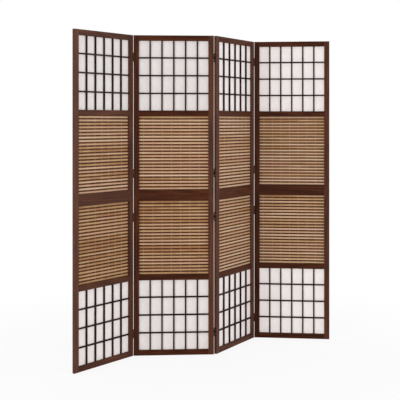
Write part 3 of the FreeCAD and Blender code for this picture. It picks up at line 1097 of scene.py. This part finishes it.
@dataclass
class PanelPart:
    """Something that belongs to one panel."""

    number: int
    place: Place
    sizes: PanelSizes

    @property
    def body(self) -> str:
        """The body that the panel's pieces ride on."""
        return f"panel_{self.number}"

    def piece(self, name: str) -> Piece:
        """An empty piece of this panel.

        Args:
            name: What the piece is.

        Returns:
            The piece, with a seed of its own.
        """
        seed = self.number * PANEL_SEEDS + sum(map(ord, name))
        return Piece(f"{self.body}_{name}", self.body, self.place, seed)


@dataclass
class HalfFrames(PanelPart):
    """Stiles and rails of a panel's two half frames."""

    hinge: HingeSizes = HingeSizes()
    crease: float = 0.0001
    # Stile tones, left then right, and rail tones of each panel are painted light: panels 1 and 3 lighter for
    # a painted sheen, the left stiles of panels 2 and 4 darker for painted shade beside the valley folds.
    stile_tones_painted_light: tuple[Span, ...] = ((0.95, 0.70), (0.35, 0.72), (0.85, 1.0), (0.0, 0.68))
    rail_tones_painted_light: tuple[float, ...] = (0.70, 0.35, 0.60, 0.20)

    def make(self) -> None:
        """Builds the stiles and the rails of both halves."""
        for half in Half:
            self.make_stiles(half)
            self.make_rails(half)

    def make_stiles(self, half: Half) -> None:
        """Builds a half's two stiles, with the rebates behind its windows, the seats of the
        hinge leaves and the notches that the eyes of front hinges turn in.

        Args:
            half: The half.
        """
        s, h = self.sizes, self.hinge
        piece = self.piece(f"{half.value}_stile_timber")
        low, high = s.span(half, (0.0, s.half))
        windows = [s.span(half, window) for window in (s.lattice_window, s.mat_window)]
        rebates = [(start - s.lip, end + s.lip) for start, end in windows]
        seats = [(foot, foot + h.height) for foot in h.feet(s)]
        notches = [(start - h.notch_spare, end + h.notch_spare) for start, end in seats]
        sides = ((self.number - 2, 1.0, 0.0), (self.number - 1, -1.0, s.width))
        # Each stile gets its painted-light tone: sheen on panels 1 and 3, shade beside the valley folds.
        for (junction, mirror, left), tone in zip(sides, self.stile_tones_painted_light[self.number - 1]):
            hinged = 0 <= junction < len(s.turns) - 1
            cuts = (rebates, seats if hinged else [], notches if hinged and junction != 1 else [])
            along, states = stretches(low, high, *cuts)
            outlines = [self.stile_outline(junction == 1, *state) for state in states]
            sections = np.stack([points for points, _ in outlines]) * (mirror, 1.0) + (left, 0.0)
            rims = np.stack([rim for _, rim in outlines])
            piece.add_bars(sections[None], along[None], Run.UP, rims, tone)
        piece.build(FRAME_WOOD, (f"{self.body}_{half.value}_stiles",))

    def stile_outline(self, rear: bool, rebated: bool, seated: bool, notched: bool) -> tuple[Array, Array]:
        """Section of a stile whose outer edge is at 0. Where a cut is missing, its corners
        lie on the straight side.

        Args:
            rear: Whether the hinges on its edge have their pins behind the panel.
            rebated: Whether the section passes a window.
            seated: Whether it passes a hinge leaf.
            notched: Whether it passes hinge eyes.

        Returns:
            The outline and its distances from an arris.
        """
        s, h, crease = self.sizes, self.hinge, self.crease
        seat = h.play + h.thick - s.gap / 2
        deep, back = h.room - s.gap / 2, h.room - h.front_offset
        tight = crease * 2
        inner_back = s.stile - s.lip
        corners = [(s.stile, 0.0), (s.stile, s.shoulder, crease)]
        corners += [(inner_back, s.shoulder, crease)] if rebated else [(s.stile, s.thickness)]
        corners += [(inner_back, s.thickness, s.arris if rebated else crease)]
        if rear:
            near = s.thickness - h.reach
            corners += [(seat, s.thickness, crease), (seat, near, crease)] if seated else []
            corners += [] if seated else [(0.0, s.thickness), (0.0, near + tight * 2, crease)]
            return rounded_outline([*corners, (0.0, near, crease), (0.0, 0.0)], s.arris)
        corners += [(0.0, s.thickness), (0.0, h.reach, crease)]
        corners += [(seat, h.reach, crease)] if seated else [(0.0, h.reach - tight, crease)]
        if notched:
            corners += [(seat if seated else 0.0, back, crease), (deep, back, crease), (deep, 0.0, crease)]
        else:
            corners += [(0.0, back + tight, crease), (0.0, back, crease), (0.0, 0.0)]
        return rounded_outline(corners, s.arris)

    def make_rails(self, half: Half) -> None:
        """Builds a half's three rails, each rebated beside the windows it borders.

        Args:
            half: The half.
        """
        s = self.sizes
        piece = self.piece(f"{half.value}_rail_timber")
        inner = s.thickness - s.shoulder
        for number, rises in enumerate(s.rails):
            low, high = s.span(half, rises)
            outwards, inwards = number > 0, number < 2
            above, below = (inwards, outwards) if half is Half.LOWER else (outwards, inwards)
            corners = [(low, 0.0), (high, 0.0)]
            corners += self.rail_back(high, -s.lip, inner, above)
            corners += self.rail_back(low, s.lip, inner, below)[::-1]
            section, rim = rounded_outline(corners, s.arris)
            along = np.array([s.stile, s.width / 2, s.width - s.stile])
            sections = np.broadcast_to(section, (1, len(along), *section.shape))
            # The rails' tone is painted light, lighter on panels 1 and 3 for a painted sheen.
            piece.add_bars(sections, along[None], Run.ACROSS, rim, self.rail_tones_painted_light[self.number - 1])
        piece.build(FRAME_WOOD, (f"{self.body}_{half.value}_rails",))

    def rail_back(self, edge: float, lip: float, deep: float, rebated: bool) -> list[Corner]:
        """Corners at the back of one of a rail's edges.

        Args:
            edge: Height of the edge.
            lip: Way into the rail that its rebate goes, with its sign.
            deep: The rebate's depth.
            rebated: Whether there is one.

        Returns:
            The corners from the front to the back.
        """
        back = self.sizes.thickness
        if not rebated:
            return [(edge, back)]
        return [(edge, back - deep, self.crease), (edge + lip, back - deep, self.crease), (edge + lip, back)]


@dataclass
class Lattices(PanelPart):
    """The halved lattices in front of a panel's paper windows."""

    def make(self) -> None:
        """Builds the upright bars and the crossbars."""
        self.make_uprights()
        self.make_crossbars()

    @property
    def columns(self) -> Array:
        """Left edges of the upright bars."""
        s = self.sizes
        return s.stile + s.column_pitch * np.arange(1, s.columns) - s.bar

    @property
    def middle(self) -> float:
        """Depth at which the notches of both directions meet."""
        return (self.sizes.bar_front + self.sizes.shoulder) / 2

    def rows(self, half: Half) -> Array:
        """Lower edges of a half's crossbars."""
        s = self.sizes
        return s.span(half, s.lattice_window)[0] + s.row_pitch * np.arange(1, s.rows) - s.bar

    def section(self, front: float, back: float) -> tuple[Array, Array]:
        """Section of a bar between two depths.

        Args:
            front: Its front face.
            back: Its back face.

        Returns:
            The outline and its distances from an arris.
        """
        s = self.sizes
        return rounded_outline([(0, front), (s.bar, front), (s.bar, back), (0, back)], s.bar_arris, 1)

    def halved(self, edges: Array, states: list[tuple[bool, ...]], kept: Span) -> tuple[Array, Array]:
        """Sections of the bars of one direction, notched where the others cross them.

        Args:
            edges: Left or lower edges of the bars.
            states: For each station, whether it is in a notch.
            kept: Front and back of what a notch leaves.

        Returns:
            Sections of shape (bars, stations, section points, 2) and the points' distances
            from an arris.
        """
        full, rim = self.section(self.sizes.bar_front, self.sizes.shoulder)
        notched, _ = self.section(*kept)
        first = np.stack([notched if cut else full for (cut,) in states])
        moves = np.stack((edges, np.zeros(len(edges))), axis=-1)
        return first + moves[:, None, None], rim

    def make_uprights(self) -> None:
        """Builds the upright bars, whose fronts are notched where the crossbars pass."""
        s = self.sizes
        piece = self.piece("lattice_upright_bars")
        for half in Half:
            low, high = s.span(half, s.lattice_window)
            along, states = stretches(low, high, [(row, row + s.bar) for row in self.rows(half)])
            sections, rim = self.halved(self.columns, states, (self.middle, s.shoulder))
            piece.add_bars(sections, np.tile(along, (len(sections), 1)), Run.UP, rim)
        piece.build(LATTICE_WOOD, (f"{self.body}_lattice_uprights",))

    def make_crossbars(self) -> None:
        """Builds the crossbars, whose backs are notched where the uprights pass."""
        s = self.sizes
        piece = self.piece("lattice_cross_bars")
        notches = [(column, column + s.bar) for column in self.columns]
        along, states = stretches(s.stile, s.width - s.stile, notches)
        rows = np.concatenate([self.rows(half) for half in Half])
        sections, rim = self.halved(rows, states, (s.bar_front, self.middle))
        piece.add_bars(sections, np.tile(along, (len(sections), 1)), Run.ACROSS, rim)
        piece.build(LATTICE_WOOD, (f"{self.body}_lattice_crossbars",))


@dataclass
class PaperWindows(PanelPart):
    """The two sheets of paper, glued behind the lattices."""

    slack: float = 0.00025
    side_points: int = 40
    ripple_share: float = 0.4
    ripple_turns: Span = (9.0, 7.0)
    smooth: float = 30.0
    # The sheets' tones are painted light: the lower sheets, and those of panels 3 and 4, are made lighter to
    # match how the light falls.
    lower_tones: tuple[float, ...] = (0.64, 0.43, 0.86, 1.0)
    upper_tones: tuple[float, ...] = (0.14, 0.0, 0.79, 0.86)

    def make(self) -> None:
        """Builds both sheets, each a slab whose faces follow a slow wave.

        The wave is the product of a half sine in each direction, zero along the glued edges,
        times a ripple. The ripple is a constant plus a weaker product of two faster sines,
        which start anywhere.
        """
        s = self.sizes
        margin = s.lip - s.play
        u = np.linspace(0.0, 1.0, self.side_points)
        steady = 1.0 - self.ripple_share
        for half, tones in ((Half.LOWER, self.lower_tones), (Half.UPPER, self.upper_tones)):
            piece = self.piece(f"{half.value}_paper_sheet")
            low, high = s.span(half, s.lattice_window)
            cut = (s.width - s.stile * 2 + margin * 2, high - low + margin * 2)
            across = s.stile - margin + cut[0] * u
            up = low - margin + cut[1] * u
            starts = piece.random.uniform(0.0, 2 * np.pi, 2)
            hold = np.sin(np.pi * u)
            fast = [np.sin(turns * u + start) for turns, start in zip(self.ripple_turns, starts)]
            wave = np.outer(hold, hold) * (steady + self.ripple_share * np.outer(*fast))
            front = s.shoulder + self.slack * wave
            sheet = np.stack((*np.meshgrid(across, up, indexing="ij"), front), axis=-1)[..., (0, 2, 1)]
            behind = sheet + (0.0, s.paper, 0.0)
            grid = np.concatenate((sheet, behind[:, ::-1]), axis=1)[None]
            # The sheet's tone is painted light.
            piece.add(grid, grid[..., (0, 2, 1)], tone=tones[self.number - 1])
            paper = piece.build(WINDOW_PAPER, (f"{self.body}_paper",), self.smooth)


@dataclass
class SlatMats(PanelPart):
    """The two mats of a panel: pale slats, dark strips, cotton warps and their beads.

    Waver and swell are spreads of a slat's place and of its width. The crown is how far a
    slat's edges lie behind its middle, and the crown's foot is the share of it by which the
    middle lies behind the frame's shoulder. A warp's sway is a share of its thread's radius.
    """

    stations: int = 6
    waver: float = 0.00018
    swell: float = 0.02
    front_points: int = 6
    crown: float = 0.0005
    crown_foot: float = 0.1
    strip_crown: float = 0.0001
    warps: int = 7
    warp_first: float = 0.0255
    warp_pitch: float = 0.0507
    warp_stray: float = 0.0008
    warp_sway: float = 0.9
    warp_offset: float = 0.0002
    warp_tuck: float = 0.002
    warp_sides: int = 5
    warp_steps: int = 6
    thread: float = 0.00045
    bead_play: float = 0.0002
    bead_round: float = 0.0012
    bead_steps: int = 3
    smooth: float = 35.0
    warp_smooth: float = 80.0
    lower_tones: tuple[Span, ...] = ((0.0, 0.45), (0.0, 0.55), (0.3, 1.0), (0.2, 1.0))
    upper_tones: tuple[Span, ...] = ((0.1, 0.9), (0.2, 1.0), (0.35, 1.0), (0.15, 0.95))

    def make(self) -> None:
        """Builds everything of both mats."""
        self.make_slats()
        self.make_strips()
        self.make_warps()
        self.make_beads()

    @property
    def ends(self) -> tuple[float, float]:
        """Left and right end of the slats, hidden in the rebates."""
        margin = self.sizes.lip - self.sizes.play
        return self.sizes.stile - margin, self.sizes.width - self.sizes.stile + margin

    def first_slat(self, half: Half) -> float:
        """Height of the middle of a mat's lowest slat."""
        s = self.sizes
        return s.span(half, s.mat_window)[0] + s.slat_edge + s.slat_pitch * s.slat_share / 2

    def bars(
        self,
        piece: Piece,
        section: Array,
        centres: Array,
        tones: Span = (0.0, 1.0),
        rim: Array | float = 1.0,
    ) -> None:
        """Adds crosswise slats whose edges waver a little along their length.

        Args:
            piece: The piece to add them to.
            section: One slat's section round its own centre height.
            centres: Heights of the slats.
            tones: Their darkest and lightest tone.
            rim: Distances of the section's points from an edge.
        """
        count = len(centres)
        along = np.tile(np.linspace(*self.ends, self.stations), (count, 1))
        drift = piece.random.normal(0.0, self.waver, (count, self.stations, 1))
        swell = 1 + piece.random.normal(0.0, self.swell, (count, self.stations, 1))
        wide = section[:, 0] * swell + centres[:, None, None] + drift
        back = np.broadcast_to(section[:, 1], wide.shape)
        tone = piece.random.uniform(*tones, count)
        piece.add_bars(np.stack((wide, back), axis=-1), along, Run.ACROSS, rim, tone)

    def make_slats(self) -> None:
        """Builds the pale slats. A slat's front is a parabola over its width."""
        s = self.sizes
        piece = self.piece("pale_slats")
        half_width = s.slat_pitch * s.slat_share / 2
        t = np.linspace(-1.0, 1.0, self.front_points)
        front = np.stack((t * half_width, s.shoulder + self.crown * (self.crown_foot + t**2)), axis=-1)
        turned = t[[-1, -2, 1, 0]]
        back = np.stack((turned * half_width, np.full(len(turned), s.shoulder + s.slat_thick)), axis=-1)
        section = np.concatenate((front, back))
        rim = half_width - abs(section[:, 0])
        for half, tones in ((Half.LOWER, self.lower_tones), (Half.UPPER, self.upper_tones)):
            centres = self.first_slat(half) + s.slat_pitch * np.arange(s.slats)
            self.bars(piece, section, centres, tones[self.number - 1], rim)
        piece.build(PALE_SLAT, (f"{self.body}_slats",), self.smooth)

    def make_strips(self) -> None:
        """Builds the dark strips, which lie behind the gaps and lap the slats."""
        s = self.sizes
        piece = self.piece("dark_strips")
        half_width = s.slat_pitch * (1 - s.slat_share) / 2 + s.strip_lap
        front = s.shoulder + s.slat_thick
        back = front + s.strip_thick
        inner, bulge = half_width / 2, front - self.strip_crown
        face = [(-half_width, front), (-inner, bulge), (inner, bulge), (half_width, front)]
        section = np.array([*face, (half_width, back), (-half_width, back)])
        for half in Half:
            first = self.first_slat(half) - s.slat_pitch / 2
            self.bars(piece, section, first + s.slat_pitch * np.arange(s.slats + 1))
        piece.build(DARK_STRIP, (f"{self.body}_slat_weft",), self.smooth)

    def make_warps(self) -> None:
        """Builds the warps, each two strands that change sides between a slat and a strip.

        A strand's depth is a cosine that turns once for every slat, and its sideways sway the
        sine, so the pair twine. The second strand is half a turn behind the first.
        """
        s = self.sizes
        piece = self.piece("cotton_warps")
        ring = circle(self.warp_sides) * self.thread
        steps = s.slats * self.warp_steps + 1
        middle = s.shoulder + s.slat_thick / 2 + self.warp_offset
        swing = s.slat_thick / 2 + self.thread
        for half in Half:
            low, high = s.span(half, s.mat_window)
            up = np.linspace(low - self.warp_tuck, high + self.warp_tuck, steps)
            turn = 2 * np.pi * (up - self.first_slat(half) + s.slat_pitch / 2) / s.slat_pitch
            feet = s.stile + self.warp_first + self.warp_pitch * np.arange(self.warps)
            feet = feet + piece.random.normal(0.0, self.warp_stray, self.warps)
            for strand in (0.0, np.pi):
                across = feet[:, None] + self.thread * self.warp_sway * np.sin(turn + strand)[None]
                back = middle + swing * np.cos(turn + strand)
                grid = np.empty((self.warps, steps, len(ring), 3))
                grid[..., 0] = across[..., None] + ring[:, 0]
                grid[..., 1] = back[None, :, None] + ring[:, 1]
                grid[..., 2] = up[None, :, None]
                grain = np.zeros_like(grid)
                grain[..., 0] = up[None, :, None]
                grain[..., 1] = np.linspace(0.0, 2 * np.pi, len(ring), endpoint=False)
                piece.add(grid, grain)
        piece.build(WARP_COTTON, (), self.warp_smooth)

    def make_beads(self) -> None:
        """Builds the four strips behind each mat, with well rounded arrises."""
        s = self.sizes
        piece = self.piece("back_beads")
        front, back, lip = s.shoulder + s.slat_thick + s.strip_thick, s.thickness, s.lip
        corners = [(0, front), (lip, front), (lip, back), (0, back)]
        soft, rim = rounded_outline(corners, self.bead_round, self.bead_steps)
        mirror = soft * (-1.0, 1.0) + (lip, 0.0)
        for half in Half:
            low, high = s.span(half, s.mat_window)
            uprights = np.stack((soft + (s.stile - lip, 0.0), mirror + (s.width - s.stile, 0.0)))
            along = np.array([low - lip, high + lip])
            piece.add_bars(np.repeat(uprights[:, None], 2, axis=1), np.tile(along, (2, 1)), Run.UP, rim)
            levels = np.stack((soft + (low - lip, 0.0), mirror + (high, 0.0)))
            along = np.array([s.stile + self.bead_play, s.width - s.stile - self.bead_play])
            piece.add_bars(np.repeat(levels[:, None], 2, axis=1), np.tile(along, (2, 1)), Run.ACROSS, rim)
        piece.build(BEAD_WOOD, (f"{self.body}_mat_beads",))


@dataclass
class HiddenTongues(PanelPart):
    """The loose tongues inside the middle rails. Their solids stay, in plain wood."""

    def make(self) -> None:
        """Gives the tongues their finish."""
        dress_node(f"{self.body}_joining_tongues", TONGUE_WOOD)


def dress_node(name: str, finish: Finish) -> None:
    """Gives a solid of the frame a finish in place of its own.

    Args:
        name: The solid's node.
        finish: The finish.
    """
    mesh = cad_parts[name].data
    mesh.materials.clear()
    mesh.materials.append(finish.material())


# ---------------------------------------------------------------- hinges


@dataclass
class Junction:
    """The four hinges between a panel and the next. Their axes have the pin at the origin
    and the carrying panel's edge beside it, one offset back.

    A pin's dome is given by shares of the head's radius and distances from the eyes' end. A
    screw's rings, slot width, slot reach and slot fade are shares of its head's radius.
    """

    number: int
    places: list[Place]
    panel: PanelSizes
    sizes: HingeSizes
    leaf_round: float = 0.0005
    leaf_skin: float = 0.0001
    eye_round: float = 0.00018
    eye_points: int = 24
    pin_dome: tuple[Span, ...] = ((0.5, -0.0007), (0.85, -0.0006), (1.0, -0.0004), (1.0, -0.00005))
    pin_points: int = 20
    screw_rings: tuple[float, ...] = (0.02, 0.12, 0.24, 0.36, 0.48, 0.60, 0.74, 0.88, 0.96, 1.0, 1.0)
    screw_points: int = 32
    screw_dome: float = 0.00022
    screw_sink: float = 0.0004
    slot_width: float = 0.13
    slot_depth: float = 0.0006
    slot_reach: float = 0.72
    slot_fade: float = 0.14
    smooth: float = 40.0
    screw_smooth: float = 30.0

    @property
    def name(self) -> str:
        """The junction's name in the frame."""
        return f"hinges_{self.number + 1}_{self.number + 2}"

    def make(self) -> None:
        """Builds both rows of leaves, their screws and the pins."""
        outer_side = -1 if self.number > 0 else 1
        for side in (-1, 1):
            self.make_leaves(side, side == outer_side)
            self.make_screws(side)
        self.make_pins(outer_side)

    def carrier(self, side: int) -> int:
        """Index of the panel on a side of the pin, -1 being its left."""
        return self.number + (side > 0)

    def piece(self, name: str, side: int) -> Piece:
        """An empty piece in the hinges' axes at one panel's edge.

        Args:
            name: What the piece is.
            side: -1 for the panel to the pin's left, 1 for the one to its right.

        Returns:
            The piece, which rides on that panel.
        """
        carrier = self.carrier(side)
        across = self.panel.width + self.panel.gap / 2 if side < 0 else -self.panel.gap / 2
        back = pin_back(self.number, self.panel, self.sizes)
        place = self.places[carrier].further(across, back, math.pi if self.number == 1 else 0.0)
        seed = HINGE_SEEDS + self.number * 100 + carrier * 10 + len(name)
        return Piece(f"{self.name}_{name}_on_panel_{carrier + 1}", f"panel_{carrier + 1}", place, seed)

    def away(self, side: int) -> int:
        """1 where the carrying panel lies towards the hinge axes' own across, or else -1."""
        return -side if self.number == 1 else side

    def eyes(self, outer: bool) -> list[tuple[float, float]]:
        """Lower and upper end of a leaf's own eyes, from the hinge's foot.

        Args:
            outer: Whether it is the leaf with the two end eyes.

        Returns:
            One pair per eye.
        """
        third, gap = self.sizes.height / 3, self.sizes.eye_gap / 2
        if outer:
            return [(0.0, third - gap), (third * 2 + gap, third * 3)]
        return [(third + gap, third * 2 - gap)]

    def make_leaves(self, side: int, outer: bool) -> None:
        """Builds the plates and round eyes that one panel carries at this junction.

        Args:
            side: Which panel, -1 being the one to the pin's left.
            outer: Whether its leaves have the two end eyes.
        """
        h = self.sizes
        piece = self.piece("leaf_plates", side)
        sign = self.away(side)
        inside, clear, far = (h.bore + h.eye) / 2, h.room, h.offset(self.number) + h.reach
        third, gap = h.height / 3, h.eye_gap / 2 * (-1 if outer else 1)
        at_eye, at_gap = (inside, clear) if outer else (clear, inside)
        corners = [(far, 0.0), (far, h.height), (at_eye, h.height), (at_eye, third * 2 - gap)]
        corners += [(at_gap, third * 2 - gap), (at_gap, third + gap), (at_eye, third + gap), (at_eye, 0.0)]
        outline, rim = rounded_outline(corners, self.leaf_round)
        depths = np.array([h.play, h.play + self.leaf_skin, h.play + h.thick])
        feet = h.feet(self.panel)
        grid = np.empty((len(feet), len(depths), len(outline), 3))
        grid[..., 0] = sign * depths[None, :, None]
        grid[..., 1] = outline[:, 0]
        grid[..., 2] = outline[:, 1] + feet[:, None, None]
        piece.add(grid, grid, rim)
        for low, high in self.eyes(outer):
            self.add_eyes(piece, feet + low, high - low)
        node = f"{self.name}_leaves_on_panel_{self.carrier(side) + 1}"
        piece.build(HINGE_STEEL, (node,), self.smooth)

    def add_eyes(self, piece: Piece, feet: Array, height: float) -> None:
        """Adds bored eyes: a small outline of the wall carried round the pin's axis.

        Args:
            piece: The piece to add them to.
            feet: Lower end of each eye.
            height: An eye's height.
        """
        h = self.sizes
        corners = [(h.bore, 0.0), (h.eye, 0.0), (h.eye, height), (h.bore, height)]
        wall, _ = rounded_outline(corners, self.eye_round, 1)
        round_axis = circle(self.eye_points)
        grid = np.empty((len(feet), len(round_axis), len(wall), 3))
        grid[..., :2] = round_axis[:, None] * wall[None, :, :1]
        grid[..., 2] = wall[:, 1] + feet[:, None, None]
        piece.add(grid, grid, looped=True)

    def make_pins(self, side: int) -> None:
        """Builds the pins: a round section whose radius swells into a domed head at each end.

        Args:
            side: Which panel the pins stay with.
        """
        h = self.sizes
        piece = self.piece("pin_rods", side)
        head = np.array(self.pin_dome) * (h.pin_head, 1.0)
        ends = np.concatenate((head, [(h.pin, head[-1, 1])]))
        profile = np.concatenate((ends, ends[::-1] * (1.0, -1.0) + (0.0, h.height)))
        feet = h.feet(self.panel)
        section = circle(self.pin_points)
        grid = np.empty((len(feet), len(profile), len(section), 3))
        grid[..., :2] = profile[:, None, :1] * section[None]
        grid[..., 2] = profile[:, 1][None, :, None] + feet[:, None, None]
        piece.add(grid, grid)
        piece.build(PIN_STEEL, (f"{self.name}_pins",), self.smooth)

    def make_screws(self, side: int) -> None:
        """Builds two countersunk heads on each leaf, with a cross cut in them.

        A head's height is a low dome over its radius, less a cross: two bell curves across the
        arms, faded out towards the rim. Its last ring sinks into the leaf.

        Args:
            side: Which panel's leaves.
        """
        h = self.sizes
        piece = self.piece("screw_heads", side)
        rings = np.array(self.screw_rings)
        flat = rings[:, None, None] * h.screw * circle(self.screw_points)
        dome = self.screw_dome * (1 - rings**2)[:, None]
        arms = np.exp(-((flat / (h.screw * self.slot_width)) ** 2)).max(axis=-1)
        fade = np.clip((self.slot_reach - rings) / self.slot_fade, 0.0, 1.0)[:, None]
        height = dome - self.slot_depth * arms * fade
        height[-1] = -self.screw_sink
        centres = np.array([h.height / 2 - h.screw_spacing / 2, h.height / 2 + h.screw_spacing / 2])
        ups = (h.feet(self.panel)[:, None] + centres[None]).reshape(-1)
        grid = np.empty((len(ups), *height.shape, 3))
        grid[..., 0] = self.away(side) * (h.play - height)
        grid[..., 1] = h.offset(self.number) + h.screw_reach + flat[..., 0]
        grid[..., 2] = flat[..., 1] + ups[:, None, None]
        piece.add(grid, grid)
        piece.build(SCREW_STEEL, (), self.screw_smooth)


# ---------------------------------------------------------------- studio


@dataclass(frozen=True)
class Studio:
    """Floor, light and camera, in metres and the screen's own frame."""

    eye: tuple[float, float, float] = (-2.2753, -4.4237, 1.2794)
    turn: float = -27.161
    lens: float = 80.0
    sensor: float = 36.0
    sight: float = 60.0
    rise: float = -0.1966
    sky: float = 0.81
    lamps: tuple[tuple[float, float, float, float], ...] = ((-9.6, -6.2, 0.6, 950.0), (9.6, -6.2, 0.6, 820.0))
    lamp_size: float = 8.0
    lamp_aim: tuple[float, float, float] = (0.0, 0.0, 0.9)
    floor: float = 30.0

    def make(self) -> None:
        """Sets up everything round the object."""
        scene = bpy.context.scene
        scene.view_settings.view_transform = "Standard"
        self.make_camera(scene)
        self.make_sky(scene)
        self.make_lamps(scene)
        self.make_floor(scene)

    def make_camera(self, scene: bpy.types.Scene) -> None:
        """Builds the level camera at the photograph's viewing angle.

        Args:
            scene: The scene that looks through it.
        """
        data = bpy.data.cameras.new("camera")
        data.lens = self.lens
        data.sensor_width = self.sensor
        data.shift_y = self.rise
        data.clip_end = self.sight
        camera = bpy.data.objects.new("camera", data)
        camera.location = self.eye
        camera.rotation_euler = (math.pi / 2, 0.0, math.radians(self.turn))
        scene.collection.objects.link(camera)
        scene.camera = camera

    def make_sky(self, scene: bpy.types.Scene) -> None:
        """Fills the surroundings with even light that the camera and mirrors see as white.

        Args:
            scene: The scene that it lights.
        """
        world = bpy.data.worlds.new("studio")
        world.use_nodes = True
        tree = NodeTree(world.node_tree)
        strength = tree.spread(tree.plain_rays(), self.sky, 1.0)
        light = tree.node("Background", {"Color": WHITE, "Strength": strength})
        tree.node("OutputWorld", {"Surface": light.outputs[0]})
        scene.world = world

    def make_lamps(self, scene: bpy.types.Scene) -> None:
        """Stands a large soft lamp on each side in front of the screen.

        Args:
            scene: The scene that they are in.
        """
        for number, (*place, power) in enumerate(self.lamps, 1):
            data = bpy.data.lights.new(f"lamp_{number}", "AREA")
            data.shape = "DISK"
            data.size = self.lamp_size
            data.energy = power
            lamp = bpy.data.objects.new(f"lamp_{number}", data)
            lamp.location = place
            aim = np.array(self.lamp_aim) - np.array(place)
            flat = math.hypot(aim[0], aim[1])
            lamp.rotation_euler = (math.atan2(flat, -aim[2]), 0.0, math.atan2(-aim[0], aim[1]))
            scene.collection.objects.link(lamp)

    def make_floor(self, scene: bpy.types.Scene) -> None:
        """Lays the floor.

        Args:
            scene: The scene that it is in.
        """
        corners = np.array([(-1, -1, 0), (1, -1, 0), (1, 1, 0), (-1, 1, 0)]) * self.floor / 2
        mesh = bpy.data.meshes.new("floor")
        mesh.from_pydata(corners.tolist(), [], [[0, 1, 2, 3]])
        mesh.materials.append(STUDIO_FLOOR.material())
        floor = bpy.data.objects.new("floor", mesh)
        scene.collection.objects.link(floor)


def main() -> None:
    """Builds the screen piece by piece."""
    logging.basicConfig(level=logging.INFO, format="%(message)s")
    panel, hinge = PanelSizes(), HingeSizes()
    places = stand_panels(panel, hinge)
    Studio().make()
    for index, place in enumerate(places):
        for part in (HalfFrames, Lattices, PaperWindows, SlatMats, HiddenTongues):
            part(index + 1, place, panel).make()
    for number in range(len(places) - 1):
        Junction(number, places, panel, hinge).make()


if __name__ == "__main__":
    main()
